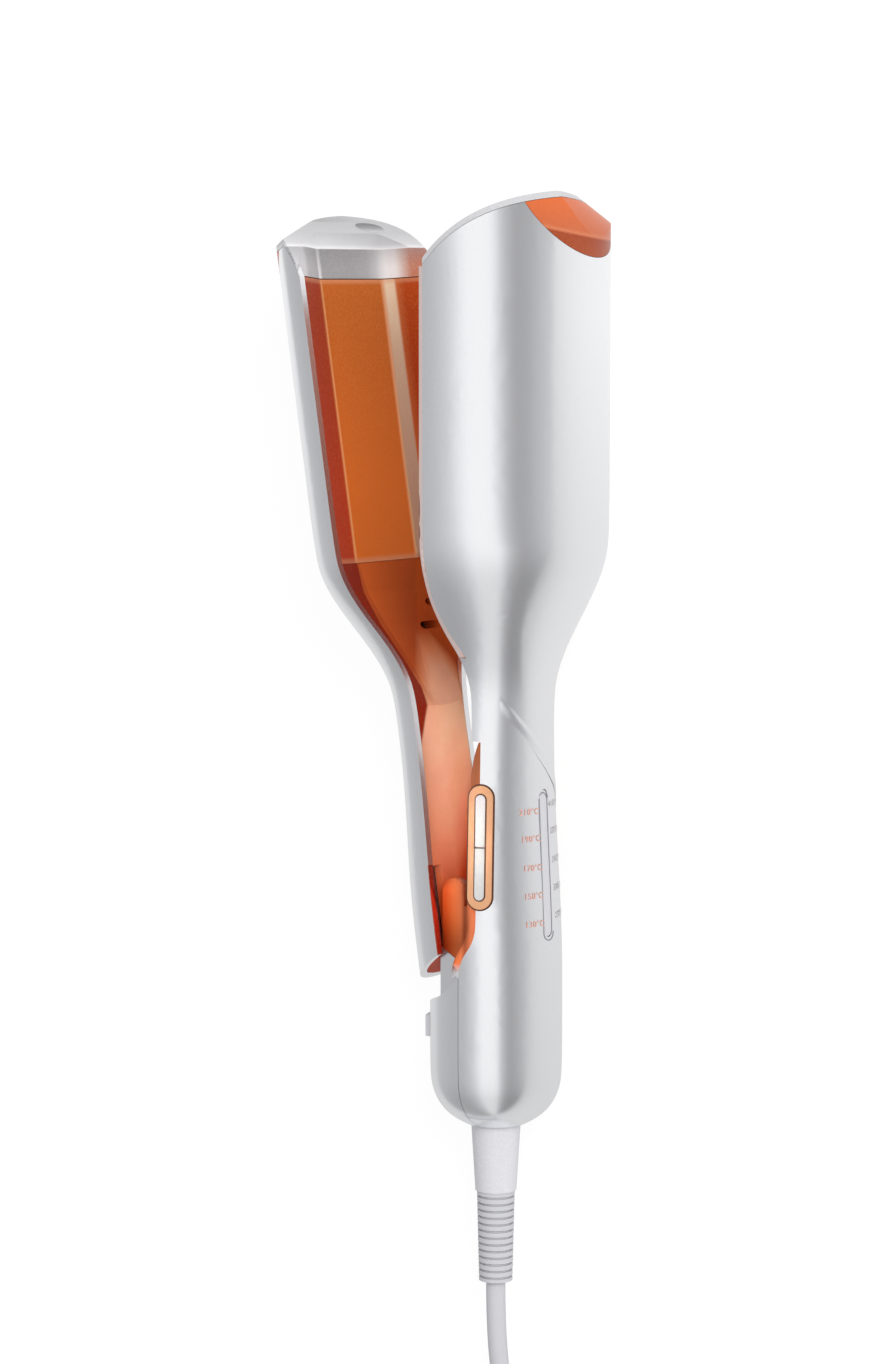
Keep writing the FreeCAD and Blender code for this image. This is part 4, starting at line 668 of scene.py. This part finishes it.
def round_grip(turns, alongs, rise):
    """Points on the grip in metres: the tail, plus radius and rise outwards, plus the way along."""
    radius = grip_radius(alongs) + rise
    return np.array(TAIL) + MM * (radius[:, None] * grip_outward(turns) + np.outer(alongs, ALONG))


def laid_on(cad_names, points, inwards, lift, deepest=20):
    """Points moved along inwards until they lie on the CAD nodes, at most deepest, then lifted, in mm.

    Each ray starts outside its point. A point whose ray meets no node goes deepest.
    """
    outside = 50 * MM
    vertices, faces = [], []
    for cad_name in cad_names:
        corners = read_rows(frame["nodes"][cad_name].data.loops, "vertex_index", 1, int).reshape(-1, 3)
        faces += (corners + len(vertices)).tolist()
        vertices += mesh_points(cad_name).tolist()
    skin = BVHTree.FromPolygons(vertices, faces)
    inwards = Vector(inwards)
    hits = [skin.ray_cast(Vector(point) - inwards * outside, inwards)[0] for point in points]
    found = np.array([(Vector(point) - hit).dot(inwards) if hit else math.nan
                      for point, hit in zip(points, hits)])
    found = np.maximum(np.nan_to_num(found, nan=-deepest * MM), -deepest * MM)
    return points - np.outer(found + lift * MM, np.array(inwards))


def grid_mesh(name, grid, closed_rows=False, closed_columns=False):
    """A smooth mesh over a grid of points, which may close on itself either way."""
    rows, columns = grid.shape[:2]
    index = np.arange(rows * columns).reshape(rows, columns)
    if closed_rows:
        index = np.concatenate([index, index[:1]])
    if closed_columns:
        index = np.concatenate([index, index[:, :1]], axis=1)
    faces = np.stack([index[:-1, :-1], index[1:, :-1], index[1:, 1:], index[:-1, 1:]], axis=-1)
    mesh = bpy.data.meshes.new(name)
    mesh.from_pydata(grid.reshape(-1, 3).tolist(), [], faces.reshape(-1, 4).tolist())
    mesh.shade_smooth()
    return mesh


def seam_line(name, path, outward, radius, material):
    """A thin round line: a circle in the plane of outward and sideways, carried round a closed path.

    A point is the path's, plus the radius times cos turn outwards and sin turn sideways.
    """
    tangent = np.roll(path, -1, axis=0) - np.roll(path, 1, axis=0)
    tangent /= np.linalg.norm(tangent, axis=1, keepdims=True)
    sideways = np.cross(tangent, outward)
    sideways /= np.linalg.norm(sideways, axis=1, keepdims=True)
    turn = np.linspace(0, 2 * math.pi, 8, endpoint=False)[:, None, None]
    grid = path + radius * MM * (np.cos(turn) * outward + np.sin(turn) * sideways)
    add_piece(name, grid_mesh(name, grid, True, True), "main_arm", material)


def oblong(half_width, half_length, steps=24):
    """A closed oblong, anticlockwise: two half circles of the half width, joined by straight sides.

    A point is plus or minus (half width times cos arc, half width times sin arc plus the straight).
    """
    arc = np.linspace(0, math.pi, steps)
    straight = half_length - half_width
    half = np.stack([half_width * np.cos(arc), half_width * np.sin(arc) + straight], axis=1)
    return np.concatenate([half, -half])


# The crease: its share of the way, its turn to the right in degrees, and its place along in mm
CREASE = [(0, 2, 129.2), (0.14, 15, 125.6), (0.24, 24, 122.3), (0.35, 35, 118.9), (0.48, 47, 114.4),
          (0.65, 63, 109.3), (0.85, 84, 103.6), (1, 100, 96.5)]
CREASE_HALF_WIDTH = 2.5
CREASE_HEIGHT = 0.17
CREASE_SINK = 0.03


def make_crease():
    """A soft step that winds from the neck down the grip's right: a gentle side and a steep side.

    Its height is CREASE_HEIGHT times sin squared of share times a quarter turn, less CREASE_SINK. The
    share grows over the first 1.3 half widths and falls over the last 0.7. Both ends fade out.
    """
    line = np.linspace(0, 1, 70)
    marks, turned, reached = np.array(CREASE).T
    turns = np.interp(line, marks, turned)
    alongs = np.interp(line, marks, reached)
    across = np.linspace(-1, 1, 13)
    share = np.where(across < 0.3, (across + 1) / 1.3, (1 - across) / 0.7)
    height = CREASE_HEIGHT * np.sin(share * math.pi / 2) ** 2 - CREASE_SINK
    fade = np.clip(3 * np.sin(line * math.pi), 0, 1)
    rows = [round_grip(turns, alongs + CREASE_HALF_WIDTH * side, rise * fade - CREASE_SINK * (1 - fade))
            for side, rise in zip(across, height)]
    add_piece("grip_crease", grid_mesh("grip_crease", np.stack(rows)), "main_arm", silver)


# The printed scale: both units, and the left label's picture column and row
SCALE_ROWS = [("210\u00b0C", "410\u00b0F", 529, 811), ("190\u00b0C", "370\u00b0F", 531, 838),
              ("170\u00b0C", "340\u00b0F", 533, 867), ("150\u00b0C", "300\u00b0F", 534, 895),
              ("130\u00b0C", "270\u00b0F", 535, 923)]
ROW_RISE = 4.6
PRINT_HEIGHT = 2.6
PRINT_LIFT = 0.06
RIGHT_LABEL_TURN = 39
RIGHT_LABEL_RISE = 1.5


def print_label(name, words, turn, at, material):
    """Characters printed on the grip, centred at a turn and a place along it."""
    data = bpy.data.curves.new(name, "FONT")
    data.body = words
    data.size = PRINT_HEIGHT
    data.space_character = 1.08
    data.align_x = "CENTER"
    data.align_y = "CENTER"
    data.resolution_u = 3
    flat = bpy.data.objects.new(name + "_flat", data)
    mesh = bpy.data.meshes.new_from_object(flat)
    points = read_rows(mesh.vertices, "co")
    turns = turn + np.degrees(points[:, 0] / grip_radius(at))
    mesh.vertices.foreach_set("co", round_grip(turns, at + points[:, 1], PRINT_LIFT).ravel())
    mesh.update()
    bpy.data.objects.remove(flat)
    bpy.data.curves.remove(data)
    add_piece(name, mesh, "main_arm", material)


def print_scale():
    """The five temperatures beside the window, in both units."""
    for step, (celsius, other, x, y) in enumerate(SCALE_ROWS):
        at = (TAIL_PIXEL - y + ROW_RISE) * SCALE
        turn = math.degrees(math.asin(min((x - AXIS_PIXEL) * SCALE / float(grip_radius(at)), 1)))
        print_label("scale_left_%d" % step, celsius, turn, at, ink)
        print_label("scale_right_%d" % step, other, turn + RIGHT_LABEL_TURN,
                    at + RIGHT_LABEL_RISE, grey_ink)


def button_seams():
    """Brown seam lines round the bezel, where it meets the grip, and round the two buttons."""
    out = -np.array(Vector(joints["up_button_press"]["axis"]).normalized())
    cross = np.cross(np.array(ALONG), out)
    cross /= np.linalg.norm(cross)
    axes = np.array([cross, np.cross(out, cross), out])

    def face_of(cad_names, depth):
        """The nodes' points within a depth of their highest, in mm from the tail in the bezel's axes."""
        points = np.concatenate([mesh_points(cad_name) for cad_name in cad_names])
        points = (points - np.array(TAIL)) @ axes.T / MM
        return points[points[:, 2] > points[:, 2].max() - depth]

    bezel = face_of(["button_bezel"], 1)
    keys = face_of(["temperature_up_button", "temperature_down_button"], 0.6)

    def path_round(points, grow):
        """An oblong round the points' box, grown by some mm, at the height of the bezel's face."""
        low, high = points.min(axis=0), points.max(axis=0)
        shape = oblong((high[0] - low[0]) / 2 + grow, (high[1] - low[1]) / 2 + grow)
        flat = (low[:2] + high[:2]) / 2 + shape
        return np.array(TAIL) + MM * (flat @ axes[:2] + bezel[:, 2].max() * out)

    round_bezel = laid_on(["body_outer_shell", "body_inner_cover"], path_round(bezel, 0.2), -out, 0, 0.75)
    round_keys = path_round(keys, 0.16) - 0.05 * MM * out
    for name, path, radius in (("bezel_seam", round_bezel, 0.3), ("button_seam", round_keys, 0.28)):
        seam_line(name, path, np.broadcast_to(out, path.shape), radius, seam_brown)


def window_seam():
    """A grey seam line round the scale window, an oblong bent onto the grip.

    The window winds a little: its turn is slope times along plus middle, fitted to its outer points.
    """
    lens = to_own(mesh_points("indicator_lens"))
    outer = lens[np.hypot(lens[:, 0], lens[:, 2]) > grip_radius(lens[:, 1]) - 1.6]
    turns = 90 - math.degrees(VIEW_TURN) - np.degrees(np.arctan2(outer[:, 2], outer[:, 0]))
    alongs = outer[:, 1]
    slope, middle = np.polyfit(alongs, turns, 1)
    radius = float(grip_radius(alongs.mean()))
    half_width = math.radians(float(np.ptp(turns - slope * alongs)) / 2) * radius
    shape = oblong(half_width + 0.1, np.ptp(alongs) / 2 + 0.1)
    at = alongs.mean() + shape[:, 1]
    turned = slope * at + middle + np.degrees(shape[:, 0] / radius)
    outward = grip_outward(turned)
    path = laid_on(["body_outer_shell", "indicator_lens"], round_grip(turned, at, 0),
                   -outward.mean(axis=0), 0.02)
    seam_line("window_seam", path, outward, 0.18, seam_grey)


def make_dimple():
    """The finger dimple on the lever's cap: an oval of rings laid on the cap, with painted shade at its upper side
    in place of a hollow.

    A point is the middle, plus share times (6.2 mm cos turn up, 3 mm sin turn along the slope).
    """
    turn = np.linspace(0, 2 * math.pi, 40, endpoint=False)[None, :, None]
    share = np.linspace(0.05, 1, 8)[:, None, None]
    oval = 6.2 * np.cos(turn) * np.array(UP) + 3 * np.sin(turn) * np.array(DIMPLE_SLOPE)
    grid = np.array(DIMPLE_MIDDLE) + MM * share * oval
    placed = laid_on(["lever_end_cap"], grid.reshape(-1, 3), -CAP_OUTWARD, 0.04)
    mesh = grid_mesh("lever_dimple", placed.reshape(grid.shape), closed_columns=True)
    # A sheet whose painted shade stands in for the dimple's hollow.
    add_piece("lever_dimple", mesh, "lever", dimple_silver)


make_cord()
make_arm_cover()
make_lever_cap()
make_crease()
print_scale()
button_seams()
window_seam()
make_dimple()


# Surroundings: a white backdrop and floor to the eye, and a studio tent that the satin shell reflects

TENT_MIDDLE = spot(0, 130, 0)
TENT_RADIUS = 3
FLOOR_RADIUS = 2.9
FLOOR_DROP = 0.3 * MM

# The tent's brightness by the turn round the crimper's long axis, left of the view, in degrees
TENT_SHADES = [
    (-180, 0.8), (-150, 0.84), (-129, 0.9), (-106, 0.9), (-90, 0.84), (-73, 0.72), (-58, 0.62),
    (-45, 0.56), (-33, 0.46), (-21, 0.38), (-11, 0.385), (1, 0.62), (10, 1.08), (24, 1.27), (34, 1.03),
    (46, 0.74), (60, 0.56), (80, 0.47), (105, 0.5), (130, 0.58), (180, 0.8),
]


def add_surround(name, mesh, material_name):
    """An object of the surroundings; gives it and its material's still empty tree."""
    item = add_object(name, mesh)
    made = bpy.data.materials.new(material_name)
    made.use_nodes = True
    made.node_tree.nodes.clear()
    made.cycles.emission_sampling = "NONE"
    mesh.materials.append(made)
    return item, made.node_tree


def make_tent():
    """A globe round the crimper whose cloth glows in soft bands of light and shade.

    The bands lean by up to 8.5 degrees behind the tail, and the cloth is darker far below it.
    """
    turn = np.linspace(0, 2 * math.pi, 48, endpoint=False)[:, None, None]
    rise = np.linspace(-math.pi / 2, math.pi / 2, 25)[None, :, None]
    ring = np.cos(turn) * np.array(RIGHT) + np.sin(turn) * np.array(AHEAD)
    grid = np.array(TENT_MIDDLE) + TENT_RADIUS * (np.cos(rise) * ring + np.sin(rise) * np.array(ALONG))
    mesh = grid_mesh("studio_tent", grid, closed_rows=True)
    tent, tree = add_surround("studio_tent", mesh, "tent cloth")
    left = distance(tree, TENT_MIDDLE, -RIGHT)
    ahead = distance(tree, TENT_MIDDLE, AHEAD)
    along = distance(tree, TENT_MIDDLE, ALONG)
    degrees = arithmetic(tree, "DEGREES", arithmetic(tree, "ARCTAN2", left, ahead))
    degrees = arithmetic(tree, "ADD", degrees, mapped(tree, along, -570, 0, 8.5, 0))
    stops = [(at, (shade, shade, shade * 1.02)) for at, shade in TENT_SHADES]
    bands = ramp_over(tree, degrees, stops, soft=True)
    lowest = mapped(tree, degrees, -50, -10, 0.43, 0.74)
    strength = mapped(tree, along, -2100, -570, lowest, 0.96)
    glow = node(tree, "Emission", {"Color": bands, "Strength": strength})
    node(tree, "OutputMaterial", {"Surface": glow.outputs[0]})
    tent.visible_camera = False


def make_floor():
    """A round pale floor that keeps a soft shadow, white to the eye and in the silver's reflections.

    Its glow takes 0.85 of what the camera, glossy and clear rays see. To a glossy ray the glow fades
    away from the arms and towards the tail. From below, the floor is clear.
    """
    turn = np.linspace(0, 2 * math.pi, 64, endpoint=False)
    circle = np.stack([np.cos(turn), np.sin(turn), 0 * turn], axis=1)
    grid = np.array([MM, FLOOR_RADIUS])[:, None, None] * circle - np.array([0, 0, FLOOR_DROP])
    floor, tree = add_surround("floor", grid_mesh("floor", grid, closed_columns=True), "floor paper")
    rays = node(tree, "LightPath").outputs
    seen = arithmetic(tree, "ADD", rays["Is Camera Ray"], rays["Is Glossy Ray"])
    seen = arithmetic(tree, "ADD", seen, rays["Is Transmission Ray"], use_clamp=True)
    share = arithmetic(tree, "MULTIPLY", seen, 0.85)
    away = ramp_over(tree, distance(tree, TAIL, ASIDE),
                     [(20, 0.97), (60, 0.93), (140, 0.84), (250, 0.77), (500, 0.7)])
    onwards = ramp_over(tree, distance(tree, TAIL, ALONG), [(0, 0.68), (40, 0.72), (180, 0.85), (245, 1)])
    reflected = arithmetic(tree, "MULTIPLY", away, onwards)
    strength = mapped(tree, rays["Is Camera Ray"], 0, 1, reflected, 1.06)
    paper = node(tree, "BsdfDiffuse", {"Color": (0.9, 0.9, 0.9, 1)})
    white = node(tree, "Emission", {"Strength": strength})
    mixed = node(tree, "MixShader", {0: share, 1: paper.outputs[0], 2: white.outputs[0]})
    clear = node(tree, "BsdfTransparent")
    under = node(tree, "NewGeometry").outputs["Backfacing"]
    both = node(tree, "MixShader", {0: under, 1: mixed.outputs[0], 2: clear.outputs[0]})
    node(tree, "OutputMaterial", {"Surface": both.outputs[0]})


def make_backdrop():
    """The world: plain white."""
    world = bpy.data.worlds.new("world")
    bpy.context.scene.world = world
    world.use_nodes = True
    world.node_tree.nodes["Background"].inputs["Color"].default_value = (1, 1, 1, 1)


def add_lamp(name, power, **settings):
    """A lamp that lights colours and throws no highlight."""
    data = bpy.data.lights.new(name, "AREA")
    data.energy = power
    for setting, value in settings.items():
        setattr(data, setting, value)
    lamp = add_object(name, data)
    lamp.visible_glossy = False
    return lamp


def make_strip_lamp():
    """A strip lamp with a narrow beam, from the viewer's side, that reaches the lever's neck."""
    lamp = add_lamp("neck strip", 0.0013, shape="RECTANGLE", size=6 * MM, size_y=46 * MM,
                    spread=math.radians(2.4))
    lamp.matrix_world = facing(AHEAD, LEVER_ALONG, picture_spot(460, 790) + AHEAD * 0.5)


def make_key_lamp():
    """A soft lamp, 12 degrees to the right of the view and 18 degrees above it."""
    turn, rise = VIEW_TURN + math.radians(12), math.radians(18)
    flat = ASIDE * math.sin(turn) + UP * math.cos(turn)
    towards = flat * math.cos(rise) + ALONG * math.sin(rise)
    lamp = add_lamp("key", 10, size=0.6)
    lamp.location = spot(0, 150, 0) + towards * 1.3
    lamp.rotation_euler = towards.to_track_quat("Z", "Y").to_euler()


make_tent()
make_floor()
make_backdrop()
make_strip_lamp()
make_key_lamp()
bpy.context.scene.view_settings.view_transform = "Standard"

bpy.context.view_layer.update()
